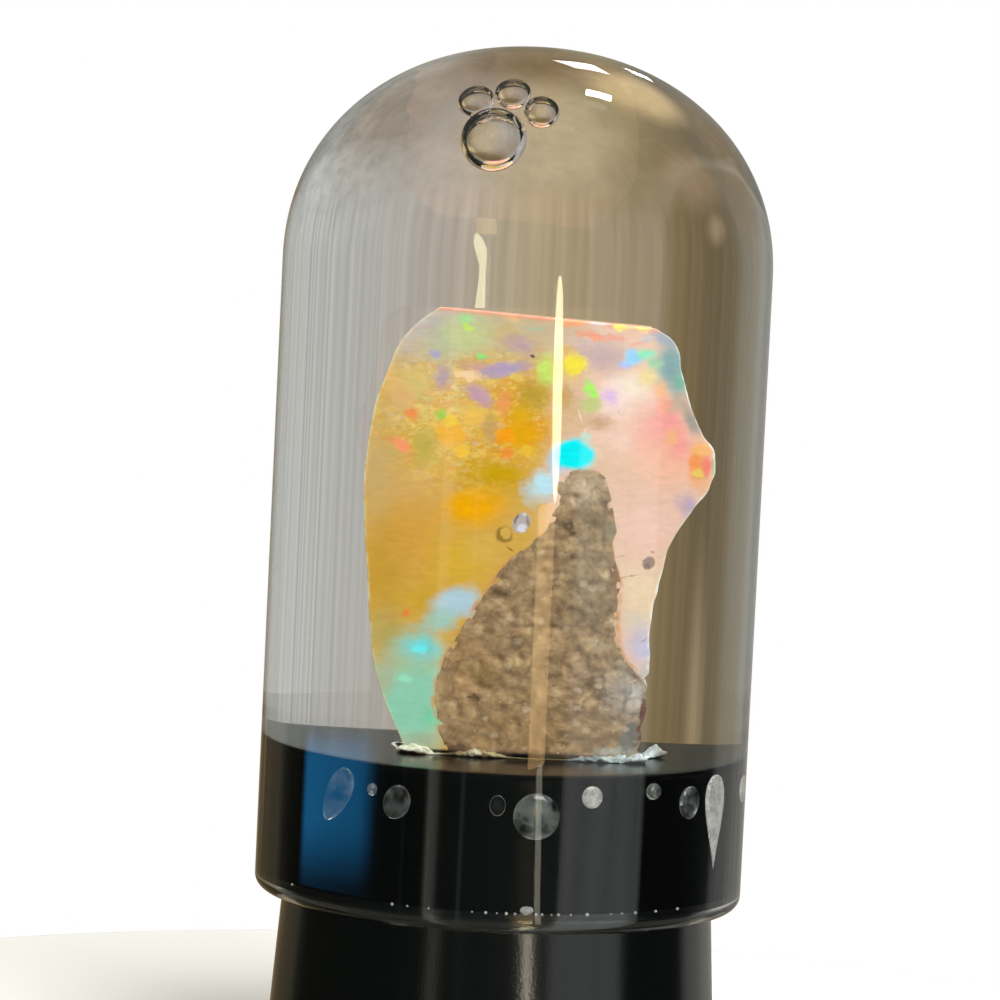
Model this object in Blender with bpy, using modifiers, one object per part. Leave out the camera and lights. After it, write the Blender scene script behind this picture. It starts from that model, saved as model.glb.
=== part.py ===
"""Opal specimen standing in a water-filled glass dome, which a tapered rubber stopper closes from below.

The stopper's flat bottom rests on the surface at z = 0, the dome's axis is the Z axis and the polished face of
the opal looks towards -Y. Names that end in _OUTLINE hold millimetres; every other length is in metres."""

import math

import bmesh
import bpy
import numpy as np
from mathutils import Vector, noise

MM = 0.001
GAP = 0.3 * MM  # clearance kept between pieces that touch

STOPPER_HEIGHT = 25 * MM
STOPPER_BOTTOM_RADIUS = 15.1 * MM
STOPPER_TOP_RADIUS = 13.5 * MM
STOPPER_EDGE = 0.5 * MM  # moulded rounding of both edges

DOME_RADIUS = 16 * MM
DOME_WALL = 1.6 * MM
DOME_RIM_Z = 15.2 * MM
DOME_SPRING_Z = 56.4 * MM  # the straight wall turns into the cap here
DOME_CAP_HEIGHT = 14.4 * MM
DOME_STEPS = 48
CAP_STEPS = 9

# Air bubbles under the cap: centre and radius
BUBBLES = (
    (Vector((-2.4, -8.9, 63.7)) * MM, 1.95 * MM),
    (Vector((-3.5, -7.2, 65.8)) * MM, 1.08 * MM),
    (Vector((-1.4, -7.1, 66.3)) * MM, 1.08 * MM),
    (Vector((0.3, -8.4, 65.4)) * MM, 1.05 * MM),
)

FOOT_Z = STOPPER_HEIGHT + GAP
FRONT_Y = -3 * MM  # the polished face
BACK_Y = 3 * MM
SLICE_HEIGHT = 1.3 * MM  # between two cross-sections of the specimen

# Left and right edges of the polished face, as (z, x) from the foot up
OPAL_LEFT_OUTLINE = (
    (25.3, -5.2), (28.2, -6.4), (30.2, -7.0), (34.0, -7.5), (39.4, -7.9), (42.5, -8.1),
    (46.0, -7.9), (49.3, -7.2), (51.7, -6.2), (53.5, -4.7),
)
OPAL_RIGHT_OUTLINE = (
    (25.3, 6.9), (28.6, 7.2), (30.8, 7.4), (33.0, 7.35), (35.6, 7.5), (38.0, 7.9), (39.7, 8.5), (41.5, 9.4),
    (42.7, 10.2), (43.9, 10.6), (45.4, 10.4), (46.4, 9.8), (48.4, 9.0), (50.6, 8.4), (52.2, 7.9), (53.5, 7.0),
)
ROCK_LEFT_OUTLINE = (
    (25.3, -3.2), (26.8, -3.4), (28.4, -3.8), (30.0, -3.7), (31.3, -3.3), (32.9, -2.7), (35.0, -1.7),
    (38.1, 0.0), (39.4, 0.9), (41.2, 1.2), (42.4, 1.5), (43.5, 2.4),
)
ROCK_RIGHT_OUTLINE = (
    (25.3, 6.9), (28.6, 7.2), (30.2, 7.2), (31.2, 6.5), (32.3, 5.8), (34.0, 5.5), (36.5, 5.6),
    (38.3, 5.1), (40.2, 5.2), (41.3, 4.7), (42.6, 4.7), (43.5, 4.0),
)
# Half of a horizontal cross-section, from the middle of the front to the middle of the back:
# across is 0 on the middle line and 1 at the edge, depth is -1 at the front and 1 at the back.
# The stone narrows towards its back, so that its sides don't show from the front.
SECTION = (
    (0.25, -1.0), (0.6, -1.0), (0.97, -1.0), (1.0, -0.9), (0.95, -0.2), (0.9, 0.35), (0.8, 0.75), (0.52, 0.93),
    (0.2, 1.0),
)

GLUE_RADIUS = 0.45 * MM
# Beads of glue that squeezed out round the foot: their middle on the stopper and how much thicker they are
GLUE_BEADS = (
    (Vector((-4.6, -3.4)) * MM, 1.3),
    (Vector((-1.2, -3.5)) * MM, 0.9),
    (Vector((5.6, -3.5)) * MM, 1.4),
    (Vector((1.0, 3.4)) * MM, 1.1),
)
GLUE_BEAD_REACH = 1.3 * MM
GLUE_CLEARANCE = 0.9 * MM  # the specimen widens just above its foot


def material(name, colour, roughness, transmission=0.0):
    result = bpy.data.materials.new(name)
    result.use_nodes = True
    shader = result.node_tree.nodes["Principled BSDF"]
    shader.inputs["Base Color"].default_value = (*colour, 1)
    shader.inputs["Roughness"].default_value = roughness
    shader.inputs["Transmission Weight"].default_value = transmission
    return result


def add_object(collection, name, mesh, finish=None):
    result = bpy.data.objects.new(name, mesh)
    collection.objects.link(result)
    if finish:
        mesh.materials.append(finish)
    return result


def turned(collection, name, profile, finish):
    """A solid of revolution. The profile holds (radius, z), down the outer side, and starts and ends on the axis."""
    mesh = bpy.data.meshes.new(name)
    points = [(radius, 0, z) for radius, z in profile]
    mesh.from_pydata(points, [(i, i + 1) for i in range(len(points) - 1)], [])
    result = add_object(collection, name, mesh, finish)
    screw = result.modifiers.new("turn", "SCREW")
    screw.steps = screw.render_steps = DOME_STEPS
    screw.use_merge_vertices = True
    screw.merge_threshold = 0.00001
    screw.use_smooth_shade = True
    return result


def ellipse_quarter(radius, height, base_z):
    """(radius, z) from the top of a cap on the axis down to its widest ring."""
    angles = [0.5 * math.pi * i / CAP_STEPS for i in range(CAP_STEPS + 1)]
    return [(radius * math.sin(angle), base_z + height * math.cos(angle)) for angle in angles]


def make_stopper(collection):
    edge = STOPPER_EDGE
    profile = [
        (0, STOPPER_HEIGHT),
        (STOPPER_TOP_RADIUS - edge, STOPPER_HEIGHT),
        (STOPPER_TOP_RADIUS - 0.2 * edge, STOPPER_HEIGHT - 0.3 * edge),
        (STOPPER_TOP_RADIUS, STOPPER_HEIGHT - edge),
        (STOPPER_BOTTOM_RADIUS, edge),
        (STOPPER_BOTTOM_RADIUS - 0.2 * edge, 0.3 * edge),
        (STOPPER_BOTTOM_RADIUS - edge, 0),
        (0, 0),
    ]
    return turned(collection, "stopper", profile, material("black rubber", (0.01, 0.012, 0.011), 0.35))


def make_dome(collection):
    inner = DOME_RADIUS - DOME_WALL
    outside = ellipse_quarter(DOME_RADIUS, DOME_CAP_HEIGHT, DOME_SPRING_Z)
    inside = ellipse_quarter(inner, DOME_CAP_HEIGHT - DOME_WALL, DOME_SPRING_Z)
    half = 0.5 * DOME_WALL
    middle = DOME_RADIUS - half
    angles = [math.pi * i / 6 for i in range(7)]
    rim = [(middle + half * math.cos(a), DOME_RIM_Z + half - half * math.sin(a)) for a in angles]
    profile = outside + rim + inside[::-1]
    return turned(collection, "glass_dome", profile, material("clear glass", (1, 1, 1), 0.0, 1.0))


def edge_at(outline, z):
    heights, across = zip(*outline)
    return float(np.interp(z / MM, heights, across)) * MM


def roughness_at(point, size, height):
    """How far a natural broken face stands off its mean: smooth noise with bumps of the given size."""
    return height * noise.noise(point / size)


def slab(collection, name, left, right, finish=None, grow=0.0, top=None, bottom=FOOT_Z, through=0.0):
    """A broken slab, lofted through horizontal cross-sections. It grows sideways by grow and in depth by through."""
    top = left[-1][0] * MM if top is None else top
    count = max(2, math.ceil((top - bottom) / SLICE_HEIGHT))
    mirrored = [(-across, depth) for across, depth in reversed(SECTION)]
    mesh = bmesh.new()
    rings = []
    for i in range(count + 1):
        z = bottom + (top - bottom) * i / count
        x_left = edge_at(left, z) - grow
        x_right = edge_at(right, z) + grow
        middle, half_width = 0.5 * (x_left + x_right), 0.5 * (x_right - x_left)
        ring = []
        for across, depth in list(SECTION) + mirrored:
            x = middle + across * half_width
            depth_half = 0.5 * (BACK_Y - FRONT_Y) + through
            y = 0.5 * (FRONT_Y + BACK_Y) + depth * depth_half
            if depth > -0.5:
                y += (0.5 + 0.5 * depth) * roughness_at(Vector((x, 0, z)), 3 * MM, 0.5 * MM)
            ring.append(mesh.verts.new((x, y, z)))
        rings.append(ring)
    for lower, upper in zip(rings, rings[1:]):
        for i, vertex in enumerate(lower):
            after = (i + 1) % len(lower)
            mesh.faces.new((vertex, lower[after], upper[after], upper[i]))
    mesh.faces.new(rings[-1])
    mesh.faces.new(rings[0][::-1])
    data = bpy.data.meshes.new(name)
    mesh.to_mesh(data)
    mesh.free()
    return add_object(collection, name, data, finish)


def cut(target, cutter):
    """Takes the cutter's shape out of the target."""
    boolean = target.modifiers.new("minus " + cutter.name, "BOOLEAN")
    boolean.operation = "DIFFERENCE"
    boolean.solver = "EXACT"
    boolean.object = cutter
    cutter.hide_render = True
    cutter.display_type = "WIRE"


def make_host_rock(collection):
    finish = material("rhyolite tuff", (0.42, 0.3, 0.19), 0.9)
    return slab(collection, "host_rock", ROCK_LEFT_OUTLINE, ROCK_RIGHT_OUTLINE, finish, through=-0.05 * MM)


def make_opal(collection, cutters):
    opal = slab(collection, "opal", OPAL_LEFT_OUTLINE, OPAL_RIGHT_OUTLINE, material("opal", (0.9, 0.68, 0.45), 0.1))
    rock_top = ROCK_LEFT_OUTLINE[-1][0] * MM + GAP
    recess = slab(
        cutters, "rock recess", ROCK_LEFT_OUTLINE, ROCK_RIGHT_OUTLINE,
        grow=GAP, top=rock_top, bottom=FOOT_Z - GAP, through=2 * MM,
    )
    cut(opal, recess)
    return opal


def glue_radius_at(point):
    extra = sum(more * math.exp(-((point - middle).length / GLUE_BEAD_REACH) ** 2) for middle, more in GLUE_BEADS)
    return GLUE_RADIUS * (1 + extra)


def make_glue(collection):
    """One closed bead of glue round the specimen's foot, thicker where it squeezed out."""
    x_left, x_right = edge_at(OPAL_LEFT_OUTLINE, FOOT_Z), edge_at(OPAL_RIGHT_OUTLINE, FOOT_Z)
    middle, half_width, half_depth = 0.5 * (x_left + x_right), 0.5 * (x_right - x_left), BACK_Y
    curve = bpy.data.curves.new("glue", "CURVE")
    curve.dimensions = "3D"
    curve.bevel_depth = 1
    curve.bevel_resolution = 2
    route = []
    steps = 44
    for i in range(steps):
        angle = 2 * math.pi * i / steps
        x_side, y_side = math.cos(angle), math.sin(angle)
        # A rounded rectangle: the fourth root keeps the corners near the slab's own
        reach = (abs(x_side) ** 6 + abs(y_side) ** 6) ** (-1 / 6)
        foot = Vector((middle + half_width * reach * x_side, half_depth * reach * y_side))
        outward = Vector((x_side * abs(x_side) ** 2, y_side * abs(y_side) ** 2)).normalized()
        radius = glue_radius_at(foot)
        place = foot + outward * (radius + GLUE_CLEARANCE)
        route.append((place, radius))
    spline = curve.splines.new("POLY")
    spline.points.add(len(route) - 1)
    spline.use_cyclic_u = True
    for point, (place, radius) in zip(spline.points, route):
        point.co = (place.x, place.y, FOOT_Z + radius, 1)
        point.radius = radius
    curve.materials.append(material("dried glue", (0.8, 0.77, 0.68), 0.3))
    result = bpy.data.objects.new("glue", curve)
    collection.objects.link(result)
    return result


def make_water(collection, cutters):
    radius = DOME_RADIUS - DOME_WALL - GAP
    cap = ellipse_quarter(radius, DOME_CAP_HEIGHT - DOME_WALL - GAP, DOME_SPRING_Z)
    profile = cap + [(radius, FOOT_Z), (0, FOOT_Z)]
    water = turned(collection, "water", profile, material("water", (1, 1, 1), 0.0, 1.0))
    specimen_top = OPAL_LEFT_OUTLINE[-1][0] * MM + GAP
    pocket = slab(
        cutters, "specimen pocket", OPAL_LEFT_OUTLINE, OPAL_RIGHT_OUTLINE,
        grow=GAP, top=specimen_top, bottom=FOOT_Z - MM, through=GAP,
    )
    cut(water, pocket)
    glue_room = slab(
        cutters, "glue room", OPAL_LEFT_OUTLINE, OPAL_RIGHT_OUTLINE,
        grow=3 * MM, top=FOOT_Z + 2.6 * MM, bottom=FOOT_Z - 2 * MM, through=3.4 * MM,
    )
    cut(water, glue_room)
    for centre, radius in BUBBLES:
        ball = bmesh.new()
        bmesh.ops.create_uvsphere(ball, u_segments=12, v_segments=8, radius=radius)
        mesh = bpy.data.meshes.new("bubble")
        ball.to_mesh(mesh)
        ball.free()
        bubble = add_object(cutters, "bubble", mesh)
        bubble.location = centre
        cut(water, bubble)
    return water


def main():
    for old in list(bpy.data.objects):
        bpy.data.objects.remove(old)
    scene = bpy.context.scene.collection
    pieces = bpy.data.collections.new("ethiopian opal")
    cutters = bpy.data.collections.new("cutters")
    scene.children.link(pieces)
    scene.children.link(cutters)
    make_stopper(pieces)
    make_dome(pieces)
    make_host_rock(pieces)
    make_opal(pieces, cutters)
    make_glue(pieces)
    make_water(pieces, cutters)


main()
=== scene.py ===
"""A precious opal on its host rock, kept wet in a glass dome that a rubber stopper closes from below.

Everything is in metres, in the part's frame: z = 0 is the stopper's flat bottom, the dome's axis is Z and
the polished face of the opal looks towards -Y."""

import math

import bpy
import numpy as np
from mathutils import Matrix, Vector


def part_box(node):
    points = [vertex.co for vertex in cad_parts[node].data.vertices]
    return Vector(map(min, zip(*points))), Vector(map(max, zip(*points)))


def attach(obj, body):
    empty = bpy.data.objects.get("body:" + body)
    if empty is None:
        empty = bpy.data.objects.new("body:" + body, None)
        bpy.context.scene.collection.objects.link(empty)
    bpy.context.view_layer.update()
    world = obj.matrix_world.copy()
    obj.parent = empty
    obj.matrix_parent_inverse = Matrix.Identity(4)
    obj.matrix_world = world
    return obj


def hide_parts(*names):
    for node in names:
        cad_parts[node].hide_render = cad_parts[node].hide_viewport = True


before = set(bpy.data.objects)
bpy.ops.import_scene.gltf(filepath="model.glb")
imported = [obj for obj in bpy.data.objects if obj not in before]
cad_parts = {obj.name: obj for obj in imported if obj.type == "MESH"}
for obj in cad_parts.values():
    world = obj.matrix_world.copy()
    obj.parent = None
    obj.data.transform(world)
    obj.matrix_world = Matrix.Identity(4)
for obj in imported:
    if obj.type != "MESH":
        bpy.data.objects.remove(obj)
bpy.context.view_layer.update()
MM = 0.001


# Rubber stopper. A plain tapered laboratory stopper, compression moulded in black rubber. Its upper part is
# pushed up into the dome and seals against the glass just above the rim; the water keeps its top wet.
STOPPER_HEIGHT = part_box("stopper")[1].z
STOPPER_BOTTOM_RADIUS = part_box("stopper")[1].x
STOPPER_TOP_RADIUS = 13.5 * MM
STOPPER_EDGE = 0.5 * MM
SEAL_Z = 16.2 * MM


def linear(code):
    """An sRGB hex colour as linear RGBA.

    A channel c becomes ((c + 0.055) / 1.055) ^ 2.4, or c / 12.92 if it is dark."""
    channels = np.array([int(code[i : i + 2], 16) for i in (1, 3, 5)]) / 255
    bright = ((channels + 0.055) / 1.055) ** 2.4
    return (*np.where(channels <= 0.04045, channels / 12.92, bright).tolist(), 1.0)


def add(tree, kind, inputs=None, **settings):
    """Adds a shader node with its settings. An input is a value, or another node's output to link."""
    result = tree.nodes.new("ShaderNode" + kind)
    for name, value in settings.items():
        setattr(result, name, value)
    for key, value in (inputs or {}).items():
        if isinstance(value, bpy.types.NodeSocket):
            tree.links.new(value, result.inputs[key])
        else:
            result.inputs[key].default_value = value
    return result


def new_material(name, **sockets):
    """A material whose Principled shader has these sockets set. Returns it with its tree and shader."""
    material = bpy.data.materials.new(name)
    material.use_nodes = True
    shader = material.node_tree.nodes["Principled BSDF"]
    for key, value in sockets.items():
        shader.inputs[key.replace("_", " ")].default_value = value
    return material, material.node_tree, shader


def add_piece(name, points, faces, materials):
    """A smooth mesh object at the origin, with its place in its points."""
    mesh = bpy.data.meshes.new(name)
    mesh.from_pydata(points, [], faces)
    mesh.validate()
    mesh.polygons.foreach_set("use_smooth", np.ones(len(mesh.polygons), bool))
    for material in materials:
        mesh.materials.append(material)
    piece = bpy.data.objects.new(name, mesh)
    bpy.context.scene.collection.objects.link(piece)
    return piece


def ring_faces(rings, count):
    """Quads that join each ring of points to the next. Point j of ring i is i * count + j."""
    i, j = np.meshgrid(np.arange(rings - 1), np.arange(count), indexing="ij")
    after = (j + 1) % count
    corners = (i * count + j, i * count + after, (i + 1) * count + after, (i + 1) * count + j)
    return np.stack(corners, -1).reshape(-1, 4).tolist()


def fan_faces(ring_start, count, pole, outward):
    """Triangles that close a ring of points onto its pole."""
    j = np.arange(count)
    first, second = ring_start + j, ring_start + (j + 1) % count
    ends = (first, second) if outward else (second, first)
    return np.stack((*ends, np.full(count, pole)), -1).tolist()


def turned(radii, heights, count, wobble=None):
    """A surface of revolution that starts and ends on the axis, going down its outer side.

    Point (i, a) is (r cos a, r sin a, z), where r and z are the profile's step i and a goes once round.
    wobble(a, z) is added to the radius."""
    angles = np.linspace(0, 2 * math.pi, count, endpoint=False)
    r, a = np.meshgrid(radii[1:-1], angles, indexing="ij")
    z = np.broadcast_to(np.asarray(heights[1:-1])[:, None], r.shape)
    if wobble:
        r = r + wobble(a, z)
    points = np.stack((r * np.cos(a), r * np.sin(a), z), -1).reshape(-1, 3)
    points = np.vstack((points, [[0, 0, heights[0]], [0, 0, heights[-1]]]))
    rings = len(radii) - 2
    faces = [face[::-1] for face in ring_faces(rings, count)]
    faces += fan_faces(0, count, rings * count, True)
    faces += fan_faces((rings - 1) * count, count, rings * count + 1, False)
    return points, faces


def arc(centre_r, centre_z, radius, first, last, steps):
    """Profile points (r, z) on a circle between two angles, in degrees up from the radial way."""
    angles = np.radians(np.linspace(first, last, steps))
    return centre_r + radius * np.cos(angles), centre_z + radius * np.sin(angles)


def black_rubber(name, ior, roughness):
    """Black moulded rubber: nearly black, half glossy, with a fine even grain and a little pale dust."""
    material, tree, shader = new_material(name, Roughness=roughness, IOR=ior)
    place = add(tree, "TexCoord").outputs["Object"]
    dust = add(tree, "TexNoise", {"Vector": place, "Scale": 2500.0, "Detail": 5.0, "Roughness": 0.7})
    amount = add(
        tree, "MapRange", {"Value": dust.outputs["Fac"], "From Min": 0.64, "From Max": 0.8, "To Max": 0.12},
    )
    colour = add(
        tree, "Mix", {"Factor": amount.outputs[0], 6: linear("#080B0A"), 7: linear("#7A7A6C")},
        data_type="RGBA",
    )
    tree.links.new(colour.outputs[2], shader.inputs["Base Color"])
    grain = add(tree, "TexNoise", {"Vector": place, "Scale": 6000.0, "Detail": 3.0})
    bump = add(tree, "Bump", {"Height": grain.outputs["Fac"], "Strength": 0.2, "Distance": 0.03 * MM})
    tree.links.new(bump.outputs[0], shader.inputs["Normal"])
    return material


top_r, top_z = arc(STOPPER_TOP_RADIUS - STOPPER_EDGE, STOPPER_HEIGHT - STOPPER_EDGE, STOPPER_EDGE, 90, 4, 8)
low_r, low_z = arc(STOPPER_BOTTOM_RADIUS - STOPPER_EDGE, STOPPER_EDGE, STOPPER_EDGE, 4, -90, 8)
side = np.linspace(0.02, 0.98, 40)  # shares of the way down the taper
TOP_RINGS = 11
FOOT_RINGS = 7
STOPPER_AROUND = 200
stopper_radii = np.concatenate((
    np.linspace(0, top_r[0], TOP_RINGS + 1)[:-1], top_r, top_r[-1] + side * (low_r[0] - top_r[-1]), low_r,
    np.linspace(low_r[-1], 0, FOOT_RINGS + 1)[1:],
))
stopper_heights = np.concatenate((
    np.full(TOP_RINGS, STOPPER_HEIGHT), top_z, top_z[-1] + side * (low_z[0] - top_z[-1]), low_z,
    np.zeros(FOOT_RINGS),
))
stopper_points, stopper_faces = turned(stopper_radii, stopper_heights, STOPPER_AROUND)
# rubber against water reflects far less than rubber against air, so each has its own index of refraction
stopper = add_piece(
    "rubber_stopper", stopper_points, stopper_faces,
    [black_rubber("wet moulded rubber", 1.13, 0.16), black_rubber("dry moulded rubber", 1.5, 0.14)],
)
first_corners = stopper_points[np.array([face[0] for face in stopper_faces])]
stopper.data.polygons.foreach_set("material_index", (first_corners[:, 2] < SEAL_Z).astype(int))
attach(stopper, "root")
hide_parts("stopper")


# Host rock. Fine-grained tan volcanic tuff, the lump that the opal filled: matt, full of small grains and
# pits, with a rusty rind where it weathered along its right edge. It reaches through the slab to its back.
FOOT_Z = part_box("host_rock")[0].z
FRONT_Y = -3 * MM
BACK_Y = 3 * MM
ROCK_TOP_Z = 43.95 * MM

# (height, across) in millimetres, up each edge of the lump as it shows on the polished face
ROCK_LEFT = (
    (25.0, -3.1), (26.8, -3.4), (28.4, -3.8), (30.0, -3.7), (31.3, -3.3), (32.9, -2.7), (35.0, -1.7),
    (36.8, -0.8), (38.1, 0.0), (39.1, 0.9), (39.7, 1.6), (41.2, 1.95), (42.4, 2.0), (43.1, 2.2),
    (43.6, 2.6), (43.95, 3.2),
)
ROCK_RIGHT = (
    (25.0, 6.9), (28.6, 7.2), (30.1, 7.3), (30.9, 6.7), (31.6, 6.1), (32.6, 5.7), (34.0, 5.5),
    (36.5, 5.6), (38.3, 5.1), (40.2, 5.2), (41.3, 4.95), (42.6, 4.8), (43.2, 4.6), (43.7, 4.2),
    (43.95, 3.5),
)


def smooth_noise(points, size, seed):
    """Value noise from -1 to 1: random values on a cubic lattice of this size, blended by 3t^2 - 2t^3."""
    lattice = 32  # points a side, after which the values repeat
    table = np.random.default_rng(seed).uniform(-1, 1, (lattice, lattice, lattice))
    cell = np.floor(points / size)
    t = points / size - cell
    t = t * t * (3 - 2 * t)
    i, j, k = (cell.astype(int) % lattice).T
    total = 0
    for di, dj, dk in np.ndindex(2, 2, 2):
        weight = np.abs(1 - di - t[:, 0]) * np.abs(1 - dj - t[:, 1]) * np.abs(1 - dk - t[:, 2])
        total = total + weight * table[(i + di) % lattice, (j + dj) % lattice, (k + dk) % lattice]
    return total


def edge_at(outline, z, soften):
    """How far across an outline is at heights z: straight between its points, averaged over z +- soften."""
    heights, across = np.array(outline).T * MM
    return np.mean([np.interp(z + soften * shift, heights, across) for shift in np.linspace(-1, 1, 7)], 0)


def rounded_rectangle(front, corner, side):
    """Points round a slab's cross-section as seen from above, from the left of the front.

    Each row is (across, deep, out_x, out_y): its place on the sides from -1 to 1, and the way out."""
    flat = np.linspace(-1, 1, front)
    turn = np.radians(np.linspace(0, 90, corner + 2)[1:-1])
    edge = np.linspace(-1, 1, side)
    one, sin, cos = np.ones, np.sin(turn), np.cos(turn)
    pieces = (
        (flat, -one(front), 0 * flat, -one(front)),
        (one(corner), -one(corner), sin, -cos),
        (one(side), edge, one(side), 0 * edge),
        (one(corner), one(corner), cos, sin),
        (-flat, one(front), 0 * flat, one(front)),
        (-one(corner), one(corner), -sin, cos),
        (-one(side), -edge, -one(side), 0 * edge),
        (-one(corner), -one(corner), -cos, -sin),
    )
    return np.hstack([np.stack(piece) for piece in pieces]).T


def slab(left, right, heights, front_y, back_y, corner, ring, round_top, shape):
    """A slab lofted from rounded rectangles at each height, closed by flat ends.

    Ring point = middle + straight part * (half size - corner) + corner * way out, drawn in by up to 15%
    towards the back, then moved along its way out by shape(points, way out). The top edge is rounded by
    drawing its last rings in by a quarter circle, and each flat end is rings that shrink to its middle."""
    top = heights[-1]
    end_rings = 6
    smallest = 0.04
    turn = np.radians(np.linspace(0, 90, 6))[1:]
    z = np.concatenate((
        np.full(end_rings, heights[0]), heights[:-1], top - round_top * (1 - np.sin(turn)),
        np.full(end_rings, top),
    ))
    inset = np.concatenate((
        np.zeros(end_rings + len(heights) - 1), round_top * (1 - np.cos(turn)), np.full(end_rings, round_top),
    ))
    share = np.concatenate((
        np.linspace(smallest, 1, end_rings + 1)[:-1], np.ones(len(heights) - 1 + len(turn)),
        np.linspace(1, smallest, end_rings + 1)[1:],
    ))
    z = np.minimum(z, np.where(inset > 0, z, top - round_top))
    x_left, x_right = left(z), right(z)
    middle, half = 0.5 * (x_left + x_right), 0.5 * (x_right - x_left) - inset
    y_middle, y_half = 0.5 * (front_y + back_y), 0.5 * (back_y - front_y) - inset
    across, deep, out_x, out_y = ring.T
    narrowing = 1 - 0.075 * (deep + 1)
    x = middle[:, None] + share[:, None] * narrowing * (across * (half - corner)[:, None] + corner * out_x)
    y = y_middle + share[:, None] * (deep * (y_half - corner)[:, None] + corner * out_y)
    points = np.stack((x, y, np.broadcast_to(z[:, None], x.shape)), -1).reshape(-1, 3)
    out = np.tile(np.stack((out_x, out_y, 0 * out_x), -1), (len(z), 1))
    points = points + out * (shape(points, out) * np.repeat(share, len(ring)))[:, None]
    count = len(ring)
    last = (len(z) - 1) * count
    poles = [points[:count].mean(0), points[last:].mean(0)]
    faces = ring_faces(len(z), count)
    faces += fan_faces(0, count, len(points), False)
    faces += fan_faces(last, count, len(points) + 1, True)
    return np.vstack((points, poles)), faces


def rock_shape(points, out):
    """Sawn tuff: two sizes of low bumps, and on its flat faces small pits where a noise runs high."""
    bumps = 0.04 * smooth_noise(points, 0.8 * MM, 3) + 0.03 * smooth_noise(points, 0.35 * MM, 4)
    pits = np.clip(smooth_noise(points, 0.5 * MM, 6) - 0.45, 0, 1) * (np.abs(out[:, 1]) > 0.9)
    return (bumps - 0.3 * pits) * MM


leaned_places = {}


def leaned(tree, where, degrees):
    """Coordinates turned about Y by t: (x cos t + z sin t, y, z cos t - x sin t). Each is made once."""
    if not degrees:
        return where
    key = (tree.as_pointer(), where.node.name, degrees)
    if key not in leaned_places:
        cos, sin = math.cos(math.radians(degrees)), math.sin(math.radians(degrees))
        turned_x = add(tree, "VectorMath", {0: where, 1: (cos, 0, sin)}, operation="DOT_PRODUCT")
        turned_z = add(tree, "VectorMath", {0: where, 1: (-sin, 0, cos)}, operation="DOT_PRODUCT")
        deep = add(tree, "VectorMath", {0: where, 1: (0, 1, 0)}, operation="DOT_PRODUCT")
        leaned_places[key] = add(
            tree, "CombineXYZ",
            {0: turned_x.outputs["Value"], 1: deep.outputs["Value"], 2: turned_z.outputs["Value"]},
        ).outputs[0]
    return leaned_places[key]


def patch(tree, under, where, centre, reach, colour, strength=1.0, softness=1.0, turn=0, depth=1000.0):
    """Lays a soft patch of colour over what is under it.

    The patch is an ellipse round centre (x, z), with half sizes reach in millimetres, leaning by turn
    degrees. It is full up to 1 - softness of its radius and fades out at its edge. It starts on the polished
    face, at y = -3 mm, and reaches depth behind it. VectorMath nodes keep the shader's memory small."""
    cos, sin = math.cos(math.radians(turn)), math.sin(math.radians(turn))
    middle = np.array((centre[0] * cos + centre[1] * sin, -3.0, centre[1] * cos - centre[0] * sin))
    size = np.array((reach[0], depth, reach[1]))
    inside = add(
        tree, "VectorMath",
        {0: leaned(tree, where, turn), 1: (1 / size).tolist(), 2: (-middle / size).tolist()},
        operation="MULTIPLY_ADD",
    )
    far = add(tree, "VectorMath", {0: inside.outputs[0]}, operation="LENGTH").outputs["Value"]
    weight = add(
        tree, "MapRange", {"Value": far, "From Min": 1.0, "From Max": 1.0 - softness, "To Max": strength},
        interpolation_type="SMOOTHSTEP",
    )
    over = add(tree, "Mix", {"Factor": weight.outputs[0], 6: under, 7: linear(colour)}, data_type="RGBA")
    return over.outputs[2]


def patches(tree, colour, where, table, depth=1000.0):
    """Lays each row of a table over the last: what, centre, reach, colour, strength, softness, any turn."""
    for _, *row in table:
        colour = patch(tree, colour, where, *row, depth=depth)
    return colour


def shaded(tree, colour, noise, low, high, least, most):
    """The colour times least where the noise is low, rising evenly to most where it is high."""
    shade = add(
        tree, "MapRange",
        {"Value": noise, "From Min": low, "From Max": high, "To Min": least, "To Max": most},
    )
    return add(tree, "VectorMath", {0: colour, "Scale": shade.outputs[0]}, operation="SCALE").outputs[0]


def millimetres(tree):
    """The place on the piece in millimetres."""
    place = add(tree, "TexCoord").outputs["Object"]
    return add(tree, "VectorMath", {0: place, "Scale": 1000.0}, operation="SCALE").outputs[0]


def nudged(tree, where, scale, reach):
    """Coordinates pushed about by noise, so that what is drawn on them has ragged edges."""
    noise = add(tree, "TexNoise", {"Vector": where, "Scale": scale, "Detail": 3.0, "Roughness": 0.6})
    push = add(tree, "VectorMath", {0: noise.outputs["Color"], 1: (0.5, 0.5, 0.5)}, operation="SUBTRACT")
    far = add(tree, "VectorMath", {0: push.outputs[0], "Scale": reach}, operation="SCALE")
    return add(tree, "VectorMath", {0: where, 1: far.outputs[0]}).outputs[0]


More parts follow.
